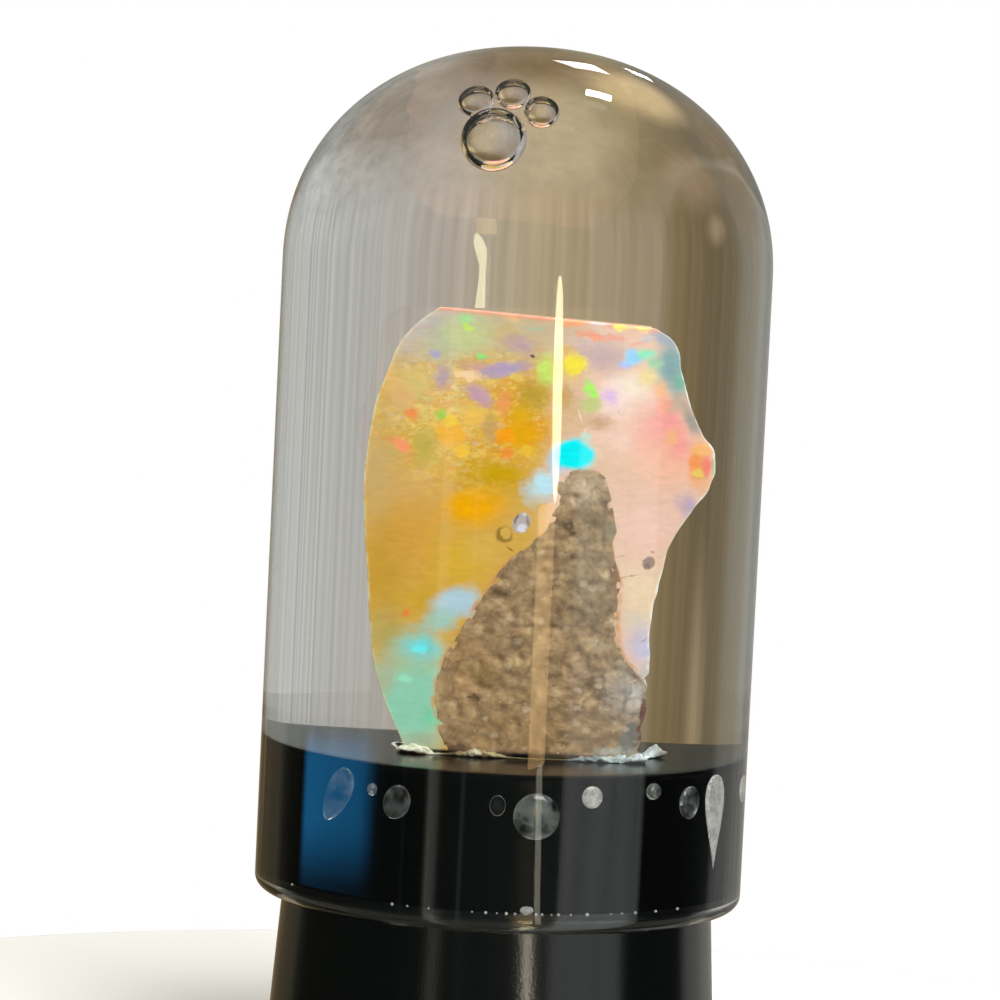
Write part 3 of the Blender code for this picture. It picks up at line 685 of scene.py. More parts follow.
def opal_material():
    """Precious opal: a milky body of low index, with play of colour drawn as soft and flaky patches."""
    material, tree, shader = new_material(
        "precious opal", Roughness=0.12, IOR=1.09, Subsurface_Weight=0.25,
        Subsurface_Scale=0.35 * MM, Transmission_Weight=0.08,
    )
    shader.inputs["Subsurface Radius"].default_value = (1.0, 0.8, 0.6)
    in_mm = millimetres(tree)
    cloudy = nudged(tree, in_mm, 0.5, 1.8)
    soft = nudged(tree, in_mm, 1.1, 0.6)
    crisp = nudged(tree, in_mm, 4.0, 0.3)
    # facets: every place inside a small cell is drawn most of the way to the middle of that cell
    ragged = nudged(tree, in_mm, 1.6, 0.5)
    cells = add(tree, "TexVoronoi", {"Vector": ragged, "Scale": 2.8})
    flaky = add(
        tree, "Mix", {"Factor": 0.55, 4: ragged, 5: cells.outputs["Position"]}, data_type="VECTOR",
    ).outputs[1]

    # amber to the left, peach to the right
    across = add(tree, "SeparateXYZ", {0: cloudy}).outputs["X"]
    sideways = add(
        tree, "MapRange", {"Value": across, "From Min": 0.6, "From Max": 2.4},
        interpolation_type="SMOOTHSTEP",
    )
    colour = add(
        tree, "Mix", {"Factor": sideways.outputs[0], 6: linear("#DDB152"), 7: linear("#F0CBB2")},
        data_type="RGBA",
    ).outputs[2]
    colour = patches(tree, colour, cloudy, BODY_COLOURS, 14.0)

    # the back is out of sight in the photograph: it has broad flashes of the same colours
    behind = add(tree, "VectorMath", {0: cloudy, 1: (0.0, (FRONT_Y - BACK_Y) / MM, 0.0)}).outputs[0]
    colour = patches(tree, colour, behind, BEHIND, 4.0)

    # pinfire: angular flecks from a fifth to three quarters of a millimetre, thickest in the upper left
    for size, centre, reach, strength in PINFIRE:
        stretch = (1.1 * size, size, 1.6 * size)
        slanted = add(
            tree, "Mapping", {"Vector": ragged, "Rotation": (0, math.radians(-35), 0), "Scale": stretch},
        )
        flecks = add(tree, "TexVoronoi", {"Vector": slanted.outputs[0], "Scale": 1.0})
        tone = add(tree, "SeparateColor", {0: flecks.outputs["Color"]})
        fire = add(tree, "ValToRGB", {"Fac": tone.outputs[0]})
        fire.color_ramp.interpolation = "CONSTANT"
        fire.color_ramp.elements[0].color = linear("#EDBF4C")
        fire.color_ramp.elements[1].position, fire.color_ramp.elements[1].color = 0.96, linear("#D3B4C0")
        for position, code in FIRE_COLOURS:
            fire.color_ramp.elements.new(position).color = linear(code)
        lit = add(
            tree, "MapRange",
            {"Value": tone.outputs[1], "From Min": 0.4, "From Max": 0.75, "To Max": strength},
        )
        scale = (1 / reach[0], 0, 1 / reach[1])
        shift = (-centre[0] / reach[0], 0, -centre[1] / reach[1])
        near = add(tree, "VectorMath", {0: cloudy, 1: scale, 2: shift}, operation="MULTIPLY_ADD")
        far = add(tree, "VectorMath", {0: near.outputs[0]}, operation="LENGTH").outputs["Value"]
        zone = add(tree, "MapRange", {"Value": far, "From Min": 1.0, "From Max": 0.45})
        amount = add(tree, "Math", {0: lit.outputs[0], 1: zone.outputs[0]}, operation="MULTIPLY")
        colour = add(
            tree, "Mix", {"Factor": amount.outputs[0], 6: colour, 7: fire.outputs[0]}, data_type="RGBA",
        ).outputs[2]

    colour = patches(tree, colour, soft, GLOW, 5.0)
    colour = patches(tree, colour, flaky, FLAKES, 5.0)

    # edges, by the distance in millimetres that the mesh carries, stronger and weaker along their way
    along = add(tree, "TexNoise", {"Vector": in_mm, "Scale": 1.4, "Detail": 2.0}).outputs["Fac"]
    # painted light: a painted glow along the top edge and painted highlights along the left and right edges,
    # besides an orange line by the rock
    for attribute, reach, code, least, most in (
        ("from_top", 0.34, "#F09A80", 0.5, 0.9), ("from_left", 0.2, "#DEDCB4", 0.1, 0.8),
        ("from_right", 0.16, "#FFFFF4", 0.05, 0.95), ("from_rock", 0.22, "#D8A060", 0.1, 0.9),
    ):
        gap = add(tree, "Attribute", attribute_name=attribute).outputs["Fac"]
        near = add(tree, "MapRange", {"Value": gap, "From Min": reach, "From Max": 0.3 * reach}).outputs[0]
        broken = add(
            tree, "MapRange",
            {"Value": along, "From Min": 0.4, "From Max": 0.6, "To Min": least, "To Max": most},
        ).outputs[0]
        amount = add(tree, "Math", {0: near, 1: broken}, operation="MULTIPLY").outputs[0]
        colour = add(tree, "Mix", {"Factor": amount, 6: colour, 7: linear(code)}, data_type="RGBA").outputs[2]

    colour = patches(tree, colour, flaky, TOP, 5.0)
    # small details, among them painted highlights on a fracture and in the cavity and painted shade on its
    # walls
    colour = patches(tree, colour, crisp, DETAILS, 1.5)

    # a faint silky mottle, lighter and darker, that runs up to the right
    slanted = add(
        tree, "Mapping", {"Vector": ragged, "Rotation": (0, math.radians(30), 0), "Scale": (1.2, 1.0, 3.0)},
    )
    silk = add(
        tree, "TexNoise", {"Vector": slanted.outputs[0], "Scale": 1.0, "Detail": 4.0, "Roughness": 0.6},
    )
    colour = shaded(tree, colour, silk.outputs["Fac"], 0.25, 0.75, 0.92, 1.08)
    tree.links.new(colour, shader.inputs["Base Color"])
    return material


def edge_distances(points):
    """Distances in millimetres from the opal's edges and from the rock's, as (name, value at each point)."""
    x, _, z = points.T
    left, right = edge_at(OPAL_LEFT, z, 0.5 * MM), edge_at(OPAL_RIGHT, z, 0.25 * MM)
    rock_side = np.maximum(edge_at(ROCK_LEFT, z, 0.3 * MM) - x, x - edge_at(ROCK_RIGHT, z, 0.3 * MM))
    return (
        ("from_top", (OPAL_TOP_Z - z) / MM), ("from_left", (x - left) / MM), ("from_right", (right - x) / MM),
        ("from_rock", np.where(z < 38.5 * MM, np.abs(rock_side), 1.0) / MM),
    )


SLOPE_FROM_Z = 44 * MM
SLOPE_FULL_OVER = 9.5 * MM
SLOPE_START_X = -4.5 * MM
SLOPE = 0.065


def opal_slope(points):
    """The top edge runs down to the right: above 44 mm, heights sink by up to 6.5% of the way across."""
    share = np.clip((points[:, 2] - SLOPE_FROM_Z) / SLOPE_FULL_OVER, 0, 1)
    points[:, 2] -= share * SLOPE * (points[:, 0] - SLOPE_START_X)
    return points


opal_points, opal_faces = slab(
    wavy(OPAL_LEFT, 0.5 * MM, 1.3 * MM, 0.03 * MM, 31), wavy(OPAL_RIGHT, 0.25 * MM, 0.8 * MM, 0.07 * MM, 32),
    np.linspace(FOOT_Z, OPAL_TOP_Z, 190), FRONT_Y, BACK_Y, 0.06 * MM, rounded_rectangle(120, 3, 22), 0.1 * MM,
    opal_shape,
)
opal_edges = edge_distances(opal_points)
opal = add_piece("precious_opal", opal_slope(opal_points), opal_faces, [opal_material()])
for name, values in opal_edges:
    opal.data.attributes.new(name, "FLOAT", "POINT").data.foreach_set("value", values)
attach(opal, "root")
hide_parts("opal")


# Glue. Clear-drying white glue that squeezed out round the stone's foot: a thin brown line where the rock
# stained it, and wrinkled milky beads at the corners.
GLUE_PATCHES = (
    ("cream at the left", (-4.6, 25.2), (1.6, 1.5), "#F2F4D8", 1.0, 0.6),
    ("tan middle", (-1.0, 25.0), (1.8, 1.1), "#B8A87C", 1.0, 0.6),
    ("pale crest", (-1.5, 25.35), (0.5, 0.25), "#E2DCB8", 1.0, 0.6),
    ("white at the right", (6.3, 25.2), (1.9, 1.5), "#CCDAD8", 1.0, 0.6),
    ("grey beside it", (4.2, 25.1), (1.2, 1.0), "#8C9A98", 1.0, 0.6),
)


def dried_glue():
    """Dried glue: cream at its left, stained brown in the middle, grey-white and half clear at its right."""
    material, tree, shader = new_material(
        "dried white glue", Roughness=0.25, IOR=1.12, Subsurface_Weight=0.2, Subsurface_Scale=0.3 * MM,
        Transmission_Weight=0.25,
    )
    in_mm = millimetres(tree)
    ragged = nudged(tree, in_mm, 2.5, 0.8)
    colour = patches(tree, linear("#7A6C4A"), ragged, GLUE_PATCHES)
    cloud = add(tree, "TexNoise", {"Vector": in_mm, "Scale": 3.5, "Detail": 4.0, "Roughness": 0.7})
    colour = shaded(tree, colour, cloud.outputs["Fac"], 0.3, 0.7, 0.45, 1.3)
    tree.links.new(colour, shader.inputs["Base Color"])
    return material


GLUE_BEADS = (  # middle (x, y) and how far the bead stands out, in millimetres
    (-5.2, -2.9, 0.32), (-4.6, -3.3, 0.38), (-4.1, -3.3, 0.24), (-2.2, -3.3, 0.2), (-1.5, -3.3, 0.34),
    (-0.7, -3.3, 0.26), (3.7, -3.3, 0.16), (4.5, -3.3, 0.22), (5.3, -3.3, 0.25), (6.2, -3.2, 0.32),
    (6.8, -2.8, 0.36), (1.0, 3.3, 0.4), (-3.0, 3.3, 0.4), (6.9, 1.0, 0.35),
)


def glue_ring(around, section):
    """A bead round the foot: a rounded rectangle path, with a small lumpy oval carried along it.

    Point (a, b) = path(a) + r (0.6 + 1.3 cos b) outward + r (0.65 + 0.7 sin b) up, where r is 0.07 mm plus a
    bell for each bead, times noise. The path is |x|^8 + |y|^8 = 1, stretched to the foot."""
    turns = [np.linspace(0, 2 * math.pi, count, endpoint=False) for count in (around, section)]
    a, b = np.meshgrid(*turns, indexing="ij")
    reach = (np.abs(np.cos(a)) ** 8 + np.abs(np.sin(a)) ** 8) ** (-1 / 8)
    centre_x, half_x, half_y = 0.85 * MM, 6.1 * MM, 3.0 * MM
    x, y = centre_x + half_x * reach * np.cos(a), half_y * reach * np.sin(a)
    radius = np.full(a.shape, 0.07 * MM)
    for bead_x, bead_y, thick in GLUE_BEADS:
        far = np.hypot(x - bead_x * MM, y - bead_y * MM) / (0.55 * MM)
        radius = radius + thick * MM * np.exp(-(far ** 2))
    out = np.stack((np.cos(a) ** 7, np.sin(a) ** 7), -1)
    out /= np.linalg.norm(out, axis=-1, keepdims=True) + 1e-12
    points = np.stack((
        x + radius * (0.6 + 1.3 * np.cos(b)) * out[..., 0],
        y + radius * (0.6 + 1.3 * np.cos(b)) * out[..., 1],
        STOPPER_HEIGHT + radius * (0.65 + np.sin(b) * 0.7),
    ), -1).reshape(-1, 3)
    lumps = 1 + 0.45 * smooth_noise(points, 0.4 * MM, 41) + 0.3 * smooth_noise(points, 0.18 * MM, 42)
    centres = np.stack((x, y, STOPPER_HEIGHT + 0 * x), -1).reshape(-1, 3)
    # one ring more than there is, which stands for the first
    faces = np.array(ring_faces(around + 1, section)) % (around * section)
    return centres + (points - centres) * lumps[:, None], faces.tolist()


glue = add_piece("glue_bead", *glue_ring(600, 20), [dried_glue()])
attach(glue, "root")
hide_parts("glue")


# Water. It fills the dome down to where the rubber seals, so a thin sleeve of it wets the stopper's side. Air
# bubbles float under the cap, and others are trapped flat between the rubber and the glass.
DOME_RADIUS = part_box("glass_dome")[1].x
DOME_RIM_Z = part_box("glass_dome")[0].z
DOME_TOP_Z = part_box("glass_dome")[1].z
DOME_WALL = 1.6 * MM
CAP_HEIGHT = 14.4 * MM
SPRING_Z = DOME_TOP_Z - CAP_HEIGHT
BORE = DOME_RADIUS - DOME_WALL


def cap(radius, height, steps):
    """Profile of a nearly elliptical cap, from its top to its widest ring: (R sin^p t, base + H cos^p t)."""
    t = np.linspace(0, math.pi / 2, steps)
    fullness = 0.95
    return radius * np.sin(t) ** fullness, SPRING_Z + height * np.cos(t) ** fullness


def stopper_radius(z):
    """The stopper's taper: its radius at height z."""
    share = (STOPPER_HEIGHT - STOPPER_EDGE - z) / (STOPPER_HEIGHT - 2 * STOPPER_EDGE)
    return STOPPER_TOP_RADIUS + share * (STOPPER_BOTTOM_RADIUS - STOPPER_TOP_RADIUS)


def clear_material(name, ior):
    """A clear colourless body: full transmission, quite smooth."""
    return new_material(
        name, Roughness=0.0, IOR=ior, Transmission_Weight=1.0, Base_Color=(1.0, 1.0, 1.0, 1.0),
    )[0]


film = 0.02 * MM  # kept between the water and the glass or rubber
WATER_AROUND = 160
cap_r, cap_z = cap(BORE - film, CAP_HEIGHT - DOME_WALL - film, 60)
column_z = np.linspace(SPRING_Z, SEAL_Z, 41)[1:]
sleeve_z = np.linspace(SEAL_Z, STOPPER_HEIGHT - 0.4 * MM, 20)
bottom_r = np.linspace(STOPPER_TOP_RADIUS - MM, 0, 8)
water_radii = np.concatenate((
    cap_r, np.full(len(column_z), BORE - film), [BORE - 2 * film], stopper_radius(sleeve_z) + film,
    [STOPPER_TOP_RADIUS - 0.3 * MM], bottom_r,
))
water_heights = np.concatenate((
    cap_z, column_z, [SEAL_Z - film], sleeve_z, [STOPPER_HEIGHT - 0.05 * MM],
    np.full(len(bottom_r), STOPPER_HEIGHT + film),
))
water_points, water_faces = turned(water_radii, water_heights, WATER_AROUND)
FLOATING = (  # centre and radius in millimetres
    ((-2.4, -8.95, 63.7), 1.95), ((-3.5, -7.2, 65.8), 1.08), ((-1.4, -7.1, 66.3), 1.08),
    ((0.3, -8.4, 65.4), 1.05),
)
TRAPPED = (  # degrees round from the front, height, half width and half height in mm, lean, taper down, fog
    (-45.0, 22.75, 1.15, 1.9, 28, 0.15, 2), (-34.1, 23.4, 0.32, 0.4, 0, 0.0, 2),
    (-27.0, 22.8, 0.9, 1.1, 20, 0.0, 2), (-1.3, 23.1, 0.5, 0.65, 0, 0.0, 1),
    (8.4, 22.5, 1.45, 1.45, 0, 0.0, 2), (22.4, 23.75, 0.68, 0.7, 0, 0.0, 3),
    (40.0, 24.0, 0.55, 0.52, 0, 0.0, 2), (52.9, 23.1, 0.95, 1.05, 8, 0.0, 2),
    (64.5, 21.6, 1.85, 3.05, 0, 0.5, 3), (86.0, 23.1, 1.0, 0.9, 0, 0.0, 3),
    (7.0, 16.62, 0.42, 0.26, 0, 0.0, 3),
)
# a row of pinhead bubbles along the seal, from the left of the front round to its right
SEAL_DEGREES = (
    -26, -22, -17, -6, -3, 0, 2, 4, 6, 7.5, 9, 11, 13.5, 15.5, 18, 22, 28, 32, 35, 42, 49, 120, 150, 200, 240,
    300,
)
beads = np.random.default_rng(51)
SEAL_BEADS = tuple(
    (degrees + beads.uniform(-0.7, 0.7), 16.38, size, size, 0, 0.0, 3)
    for degrees, size in zip(SEAL_DEGREES, beads.uniform(0.05, 0.11, len(SEAL_DEGREES)))
)


def cavity(count, rings, place):
    """A closed ball of points facing inwards, as the wall of a bubble in the water.

    place(x, y, z) sets unit-sphere points (sin t cos a, sin t sin a, cos t) in the object."""
    down = np.linspace(0, math.pi, rings + 2)[1:-1]
    once_round = np.linspace(0, 2 * math.pi, count, endpoint=False)
    t, a = np.meshgrid(down, once_round, indexing="ij")
    ball = np.stack((np.sin(t) * np.cos(a), np.sin(t) * np.sin(a), np.cos(t)), -1).reshape(-1, 3)
    ball = np.vstack((ball, [[0, 0, 1], [0, 0, -1]]))
    faces = ring_faces(rings, count)
    faces += fan_faces(0, count, rings * count, False)
    faces += fan_faces((rings - 1) * count, count, rings * count + 1, True)
    return place(*ball.T), faces


def floating(centre, radius):
    """Places a ball in the open water."""
    return lambda x, y, z: np.stack((x, y, z), -1) * radius * MM + np.array(centre) * MM


def trapped(degrees, height, half_width, half_height, lean, taper):
    """Places a ball flattened between the stopper and the glass, and bent round the dome with them.

    Its width is scaled by 1 - taper + taper * z, so a tapered one comes to a point below."""
    def place(x, y, z):
        turn = math.radians(lean)
        x = x * (1 - taper + taper * z)
        along = (x * math.cos(turn) * half_width + z * math.sin(turn) * half_height) * MM
        up = (-x * math.sin(turn) * half_width + z * math.cos(turn) * half_height) * MM + height * MM
        inner, outer = stopper_radius(up) + 2 * film, BORE - 2 * film
        r = 0.5 * (inner + outer) + 0.5 * (outer - inner) * y
        a = math.radians(degrees) + along / BORE
        return np.stack((r * np.sin(a), -r * np.cos(a), up), -1)
    return place


def fogged(name, clearest, foggiest, code):
    """The wall of an air pocket with dew on it: where the droplets are, less light goes straight through."""
    material, tree, shader = new_material(name, IOR=1.333, Base_Color=linear(code))
    place = add(tree, "TexCoord").outputs["Object"]
    dew = add(tree, "TexNoise", {"Vector": place, "Scale": 900.0, "Detail": 4.0, "Roughness": 0.75})
    for socket, least, most in (("Transmission Weight", clearest, foggiest), ("Roughness", 0.0, 0.2)):
        amount = add(
            tree, "MapRange",
            {"Value": dew.outputs[0], "From Min": 0.42, "From Max": 0.62, "To Min": least, "To Max": most},
        )
        tree.links.new(amount.outputs[0], shader.inputs[socket])
    return material


BUBBLE_AROUND = 48
BEAD_AROUND = 10
bubbles = [(floating(*ball), 1, BUBBLE_AROUND) for ball in FLOATING]
bubbles += [(trapped(*ball), fog, BUBBLE_AROUND) for *ball, fog in TRAPPED]
bubbles += [(trapped(*ball), fog, BEAD_AROUND) for *ball, fog in SEAL_BEADS]
water_slots = [0] * len(water_faces)
for place, slot, count in bubbles:
    ball_points, ball_faces = cavity(count, count // 2, place)
    water_faces += [[corner + len(water_points) for corner in face] for face in ball_faces]
    water_slots += [slot] * len(ball_faces)
    water_points = np.vstack((water_points, ball_points))
water_materials = [
    clear_material("still water against the glass", 1.0), clear_material("bubble wall in water", 1.24),
    fogged("thin dew on a bubble wall", 1.0, 0.9, "#CCD4CE"),
    fogged("heavy dew on a bubble wall", 0.8, 0.45, "#D8D8D2"),
]
water = add_piece("water_fill", water_points, water_faces, water_materials)
water.data.polygons.foreach_set("material_index", water_slots)
water.visible_shadow = False
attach(water, "root")
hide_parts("water")


# Glass dome. A short length of clear borosilicate tube, closed by a blown round cap, with its rim melted
# round in the flame. Its wall is a little uneven, as drawn tube is.
def drawn_tube(a, z):
    """Faint draw lines: the radius varies by a few microns round the tube and slowly along it."""
    waves = np.sin(3 * a + 0.7) + 0.6 * np.sin(7 * a + 2.0 + 20 * z) + 0.4 * np.sin(23 * a + 1.1)
    return 0.004 * MM * waves


outer_r, outer_z = cap(DOME_RADIUS, CAP_HEIGHT, 70)
inner_r, inner_z = cap(BORE, CAP_HEIGHT - DOME_WALL, 70)
rim_r, rim_z = arc(DOME_RADIUS - 0.5 * DOME_WALL, DOME_RIM_Z + 0.5 * DOME_WALL, 0.5 * DOME_WALL, 0, -180, 24)
wall_z = np.linspace(SPRING_Z, rim_z[0], 50)[1:-1]
wall_r = np.ones(len(wall_z))
dome_radii = np.concatenate((outer_r, DOME_RADIUS * wall_r, rim_r, BORE * wall_r, inner_r[::-1]))
dome_heights = np.concatenate((outer_z, wall_z, rim_z, wall_z[::-1], inner_z[::-1]))
DOME_AROUND = 320
dome_points, dome_faces = turned(dome_radii, dome_heights, DOME_AROUND, drawn_tube)
dome = add_piece(
    "clear_glass_dome", dome_points, dome_faces,
    [clear_material("clear borosilicate glass", 1.48), clear_material("glass wetted by water", 1.11)],
)
# the inner wall meets water, which bends light far less than air does
rings = len(dome_radii) - 2
ring = np.arange(len(dome_faces)) // DOME_AROUND
inner_side = (ring >= rings - len(inner_r) - len(wall_z)) & (ring != rings - 1)
corner_z = dome_points[np.array([face[0] for face in dome_faces])][:, 2]
dome.data.polygons.foreach_set("material_index", (inner_side & (corner_z > SEAL_Z)).astype(int))
dome.visible_shadow = False
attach(dome, "root")
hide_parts("glass_dome")


# Studio. A pale floor, a soft key from the right front, three fills behind the stone's face, narrow strips
# that draw the lines down the glass and rubber, and three softboxes that the cap mirrors. The surroundings
# are pale behind to the right, brown behind to the left and dark in front.
def pale_floor():
    """Painted board: off-white and matt."""
    return new_material(
        "pale studio floor", Roughness=0.8, Base_Color=linear("#FAFAF8"), Specular_IOR_Level=0.0,
    )[0]


FLOOR_RADIUS = 70 * MM
floor_r = np.linspace(5 * MM, FLOOR_RADIUS - 0.1 * MM, 10)
floor_r = np.concatenate(([0], floor_r, [FLOOR_RADIUS, FLOOR_RADIUS, 0]))
floor_z = np.concatenate((np.full(12, -0.02 * MM), [-0.04 * MM, -1 * MM]))
floor = add_piece("floor", *turned(floor_r, floor_z, 96), [pale_floor()])
floor.visible_glossy = False
floor.visible_transmission = False

world = bpy.data.worlds.new("studio")
bpy.context.scene.world = world
world.use_nodes = True
tree = world.node_tree
direction = add(tree, "TexCoord").outputs["Generated"]
split = add(tree, "SeparateXYZ", {0: direction})
angle = add(tree, "Math", {0: split.outputs["X"], 1: split.outputs["Y"]}, operation="ARCTAN2").outputs[0]
height = add(tree, "Math", {0: split.outputs["Z"]}, operation="ARCSINE").outputs[0]
# degrees to the right of straight behind, and degrees up
across = add(tree, "Math", {0: angle, 1: math.degrees(1)}, operation="MULTIPLY").outputs[0]
up = add(tree, "Math", {0: height, 1: math.degrees(1)}, operation="MULTIPLY").outputs[0]
round_and_up = add(tree, "CombineXYZ", {0: across, 2: up}).outputs[0]

SURROUNDINGS = (  # degrees to the right of straight behind the dome, and the colour there
    (-180, "#5A6462"), (-162, "#4E5856"), (-161.5, "#C0C8D0"), (-160.5, "#4E5856"), (-152, "#3E4644"),
    (-150, "#C8C8BC"), (-146, "#FFFFF0"), (-144.5, "#3E4644"), (-135, "#3A4240"), (-134, "#6A706C"),
    (-133, "#3A4240"), (-64, "#34342E"), (-57, "#4A483E"), (-50, "#8A8472"), (-42, "#7E7660"),
    (-34, "#7A6E56"), (-26, "#6C5E46"), (-18, "#80704F"), (-9, "#9C8A6A"), (0, "#B2A282"), (9, "#B0A69A"),
    (20, "#AEACA6"), (43, "#B6B6B2"), (60, "#B4B6B4"), (66, "#2A2E2E"), (110, "#2E3232"),
    (112, "#F0FAF6"), (151, "#FAFFFC"), (153, "#5A6462"),
)
turn_share = add(tree, "MapRange", {"Value": angle, "From Min": -math.pi, "From Max": math.pi}).outputs[0]
surroundings = add(tree, "ValToRGB", {"Fac": turn_share})
ramp = surroundings.color_ramp
ramp.elements[0].color = ramp.elements[1].color = linear(SURROUNDINGS[0][1])
for degrees, code in SURROUNDINGS[1:]:
    ramp.elements.new((degrees + 180) / 360).color = linear(code)

HIGH_AND_LOW = (  # what, (degrees round, degrees up), reach, colour, strength, softness, turn
    ("beige below at the right", (22, -26), (26, 22), "#968A7C", 0.95, 0.8),
    ("tan below", (0, -18), (14, 12), "#B8A688", 0.8, 0.9),
    ("brown below", (2, -42), (24, 20), "#664E2C", 0.95, 0.7),
    ("brown below at the left", (-42, -26), (16, 24), "#846A46", 0.9, 0.8),
    ("tan at the left", (-22, -14), (10, 7), "#957E60", 0.9, 0.9),
    ("cream below at the left", (-18, -31), (13, 9), "#DCC08E", 0.9, 0.7),
    ("grey-green above", (0, 20), (80, 18), "#748280", 0.6, 0.4),
    ("pale slant at the right", (-26, -7), (4, 3.2), "#B8A280", 0.5, 0.9, 30),
    ("pale high up", (0, 60), (400, 42), "#B0AA9A", 0.9, 0.3),
)
seen = patches(tree, surroundings.outputs[0], round_and_up, HIGH_AND_LOW)

# streaks that run up and down at the height of the glass wall, and a soft mottle below, for the cap
streak_place = add(tree, "Mapping", {"Vector": round_and_up, "Scale": (0.8, 1.0, 0.03)})
streaks = add(tree, "TexNoise", {"Vector": streak_place.outputs[0], "Scale": 1.0, "Detail": 4.0})
clouds = add(tree, "TexNoise", {"Vector": direction, "Scale": 12.0, "Detail": 6.0, "Roughness": 0.7})
wall = add(tree, "MapRange", {"Value": split.outputs["Z"], "From Min": -0.18, "From Max": -0.11})
grain = add(
    tree, "Mix", {"Factor": wall.outputs[0], 2: clouds.outputs["Fac"], 3: streaks.outputs["Fac"]},
    data_type="FLOAT",
)
# the light is 1 + (noise - 0.5) * strength, and most uneven where the left wall of the glass shows it
strength = add(
    tree, "MapRange", {"Value": across, "From Min": 14.0, "From Max": 34.0, "To Min": 0.75, "To Max": 1.7},
)
uneven = add(tree, "Math", {0: grain.outputs[0], 1: 0.5}, operation="SUBTRACT")
shade = add(tree, "Math", {0: uneven.outputs[0], 1: strength.outputs[0], 2: 1.0}, operation="MULTIPLY_ADD")
seen = add(tree, "VectorMath", {0: seen, "Scale": shade.outputs[0]}, operation="SCALE").outputs[0]

# a blue glow low on the left, which only the glass mirrors, in front of the black rubber
BLUE = (0.03, 0.42, 1.0)
BLUE_STRENGTH = 3.0
BLUE_EDGES = (  # degrees across or up, where there is none and where it is full
    (across, -121.0, -108.0), (across, -71.0, -77.0), (up, -7.1, -7.7), (up, -9.7, -8.4),
)
paths = add(tree, "LightPath")
blue_amount = add(
    tree, "Math", {0: paths.outputs["Is Singular Ray"], 1: BLUE_STRENGTH}, operation="MULTIPLY",
).outputs[0]
for where, none, full in BLUE_EDGES:
    share = add(
        tree, "MapRange", {"Value": where, "From Min": none, "From Max": full},
        interpolation_type="SMOOTHSTEP",
    )
    blue_amount = add(tree, "Math", {0: share.outputs[0], 1: blue_amount}, operation="MULTIPLY").outputs[0]
blue = add(tree, "VectorMath", {0: BLUE, "Scale": blue_amount}, operation="SCALE")
seen = add(tree, "VectorMath", {0: seen, 1: blue.outputs[0]}, operation="ADD").outputs[0]

# the camera itself sees plain white
backdrop = add(
    tree, "Mix", {"Factor": paths.outputs["Is Camera Ray"], 6: seen, 7: linear("#FFFFFF")}, data_type="RGBA",
)
tree.links.new(backdrop.outputs[2], tree.nodes["Background"].inputs["Color"])


def receivers(name, *pieces):
    """A collection of the pieces that a light falls on."""
    group = bpy.data.collections.new(name)
    for piece in pieces:
        group.objects.link(piece)
    return group


def area_light(
    name, place, size, radiance, colour="#FFFFFF", only=None, target=None, roll=0, shape="RECTANGLE",
):
    """A soft light at place, hidden from the camera. It faces target, or the dome's axis, rolled by degrees.

    Its power in watts is radiance * pi * width * height, with the sides in metres."""
    light = bpy.data.lights.new(name, "AREA")
    light.shape = shape
    light.size, light.size_y = size
    light.energy = radiance * math.pi * size[0] * size[1]
    light.color = linear(colour)[:3]
    lamp = bpy.data.objects.new(name, light)
    lamp.location = place
    way = Vector(target or (0, 0, place[2])) - Vector(place)
    facing = way.to_track_quat("-Z", "Y").to_matrix()
    lamp.rotation_euler = (facing @ Matrix.Rotation(math.radians(roll), 3, "Z")).to_euler()
    lamp.visible_camera = False
    if only:
        lamp.light_linking.receiver_collection = only
    bpy.context.scene.collection.objects.link(lamp)


def round_dome(degrees, distance, z):
    """A place round the dome: degrees to the right of the front, distance and height in millimetres."""
    turn = math.radians(degrees)
    return (distance * math.sin(turn) * MM, -distance * math.cos(turn) * MM, z * MM)


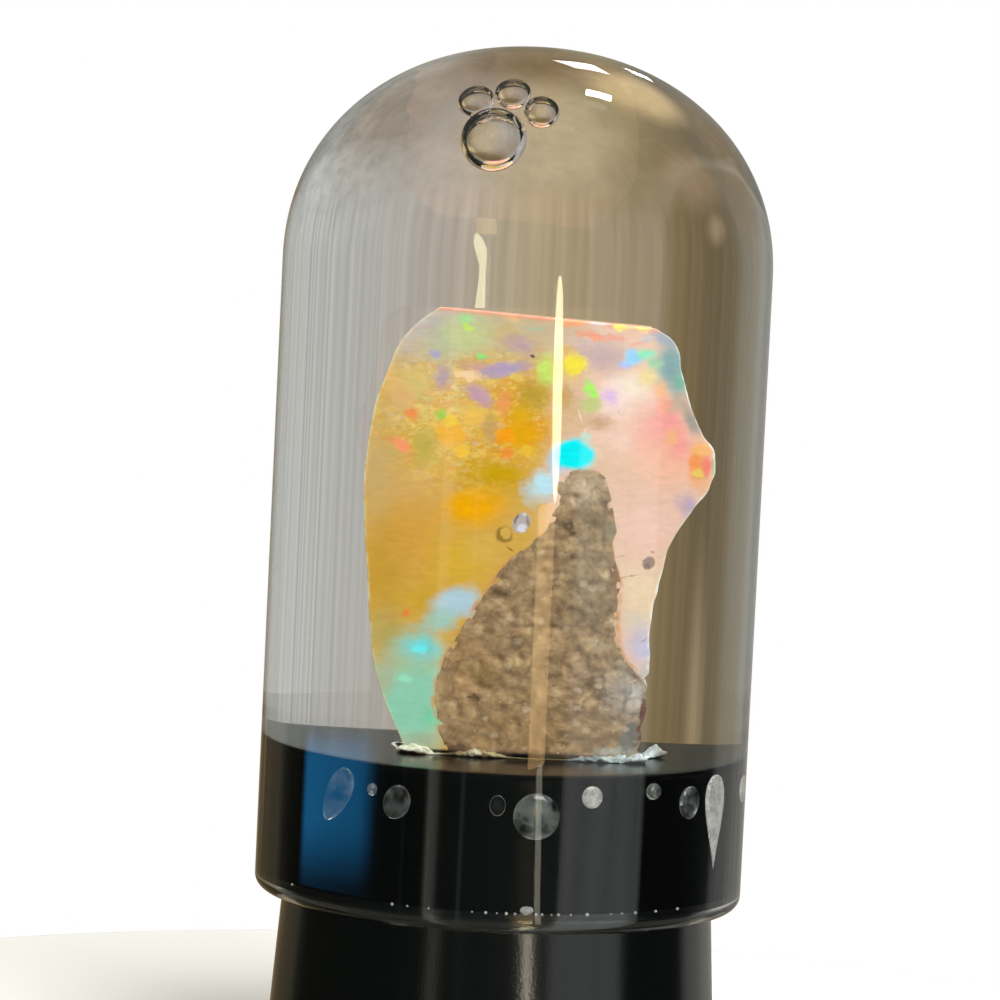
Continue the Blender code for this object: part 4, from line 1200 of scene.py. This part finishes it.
inner_pieces = receivers("lit by the key", opal, rock, glue, floor, water)
glass_and_rubber = receivers("lit by the strips", dome, stopper)
glass_alone = receivers("lit low on the glass", dome)
rubber_alone = receivers("lit low on the rubber", stopper)
stone = receivers("lit from behind", opal, rock, glue)
STONE_MIDDLE = (0, 0, 0.04)
SOFT_DISTANCE = 260  # millimetres from the dome's axis
STRIP_DISTANCE = 85
for name, degrees, z, radiance, only in (
    ("key", 25, 260, 21.5, inner_pieces), ("back fill", 180, 200, 12.0, stone),
    ("left fill", -108, 150, 7.0, stone), ("right fill", 108, 150, 7.0, stone),
):
    place = round_dome(degrees, SOFT_DISTANCE, z)
    area_light(name, place, (0.16, 0.16), radiance, only=only, target=STONE_MIDDLE)
for name, degrees, z, size, radiance, colour, only, roll, shape in (
    ("line", 14.2, 46.8, (0.0054, 0.019), 13.0, "#FFF8C8", glass_and_rubber, 13, "ELLIPSE"),
    ("band", 12.8, 27, (0.0098, 0.021), 4.0, "#FFD08A", glass_and_rubber, 3, "RECTANGLE"),
    ("low line", 16.3, 6, (0.0034, 0.022), 3.0, "#F8F4DC", glass_alone, 14, "RECTANGLE"),
    ("stem line", 15.9, 6, (0.0040, 0.022), 12.0, "#F8F0D8", rubber_alone, 12, "RECTANGLE"),
):
    place = round_dome(degrees, STRIP_DISTANCE, z)
    area_light(name, place, size, radiance, colour, only, roll=roll, shape=shape)
CAP_MIDDLE = (0, 0, 0.06)
for name, place, size, radiance in (
    ("cap softbox", (0.101, 0.145, 0.401), (0.042, 0.034), 60.0),
    ("far softbox", (0.046, 0.288, 0.305), (0.042, 0.05), 6.0),
    ("low softbox", (0.071, 0.339, 0.218), (0.018, 0.03), 6.0),
):
    area_light(name, place, size, radiance, target=CAP_MIDDLE, roll=40)

# Camera. It stands 26 cm in front, at the photograph's height and lean, with a long lens. Light passes many
# clear faces on its way through the glass, water and bubbles, so it may bounce often.
camera_data = bpy.data.cameras.new("camera")
camera_data.sensor_width = 36.0
camera_data.lens = 144.0
camera_data.clip_start = 0.001
camera = bpy.data.objects.new("camera", camera_data)
bpy.context.scene.collection.objects.link(camera)
bpy.context.scene.camera = camera
camera.location = (-1.92 * MM, -261.72 * MM, 58.67 * MM)
camera.rotation_euler = (math.radians(90 - 3.83), math.radians(-2.8), 0)

view = bpy.context.scene.view_settings
view.view_transform = "Standard"
cycles = bpy.context.scene.cycles
cycles.max_bounces = 28
cycles.transmission_bounces = 28
cycles.glossy_bounces = 6
cycles.transparent_max_bounces = 16
cycles.caustics_refractive = False
cycles.caustics_reflective = False
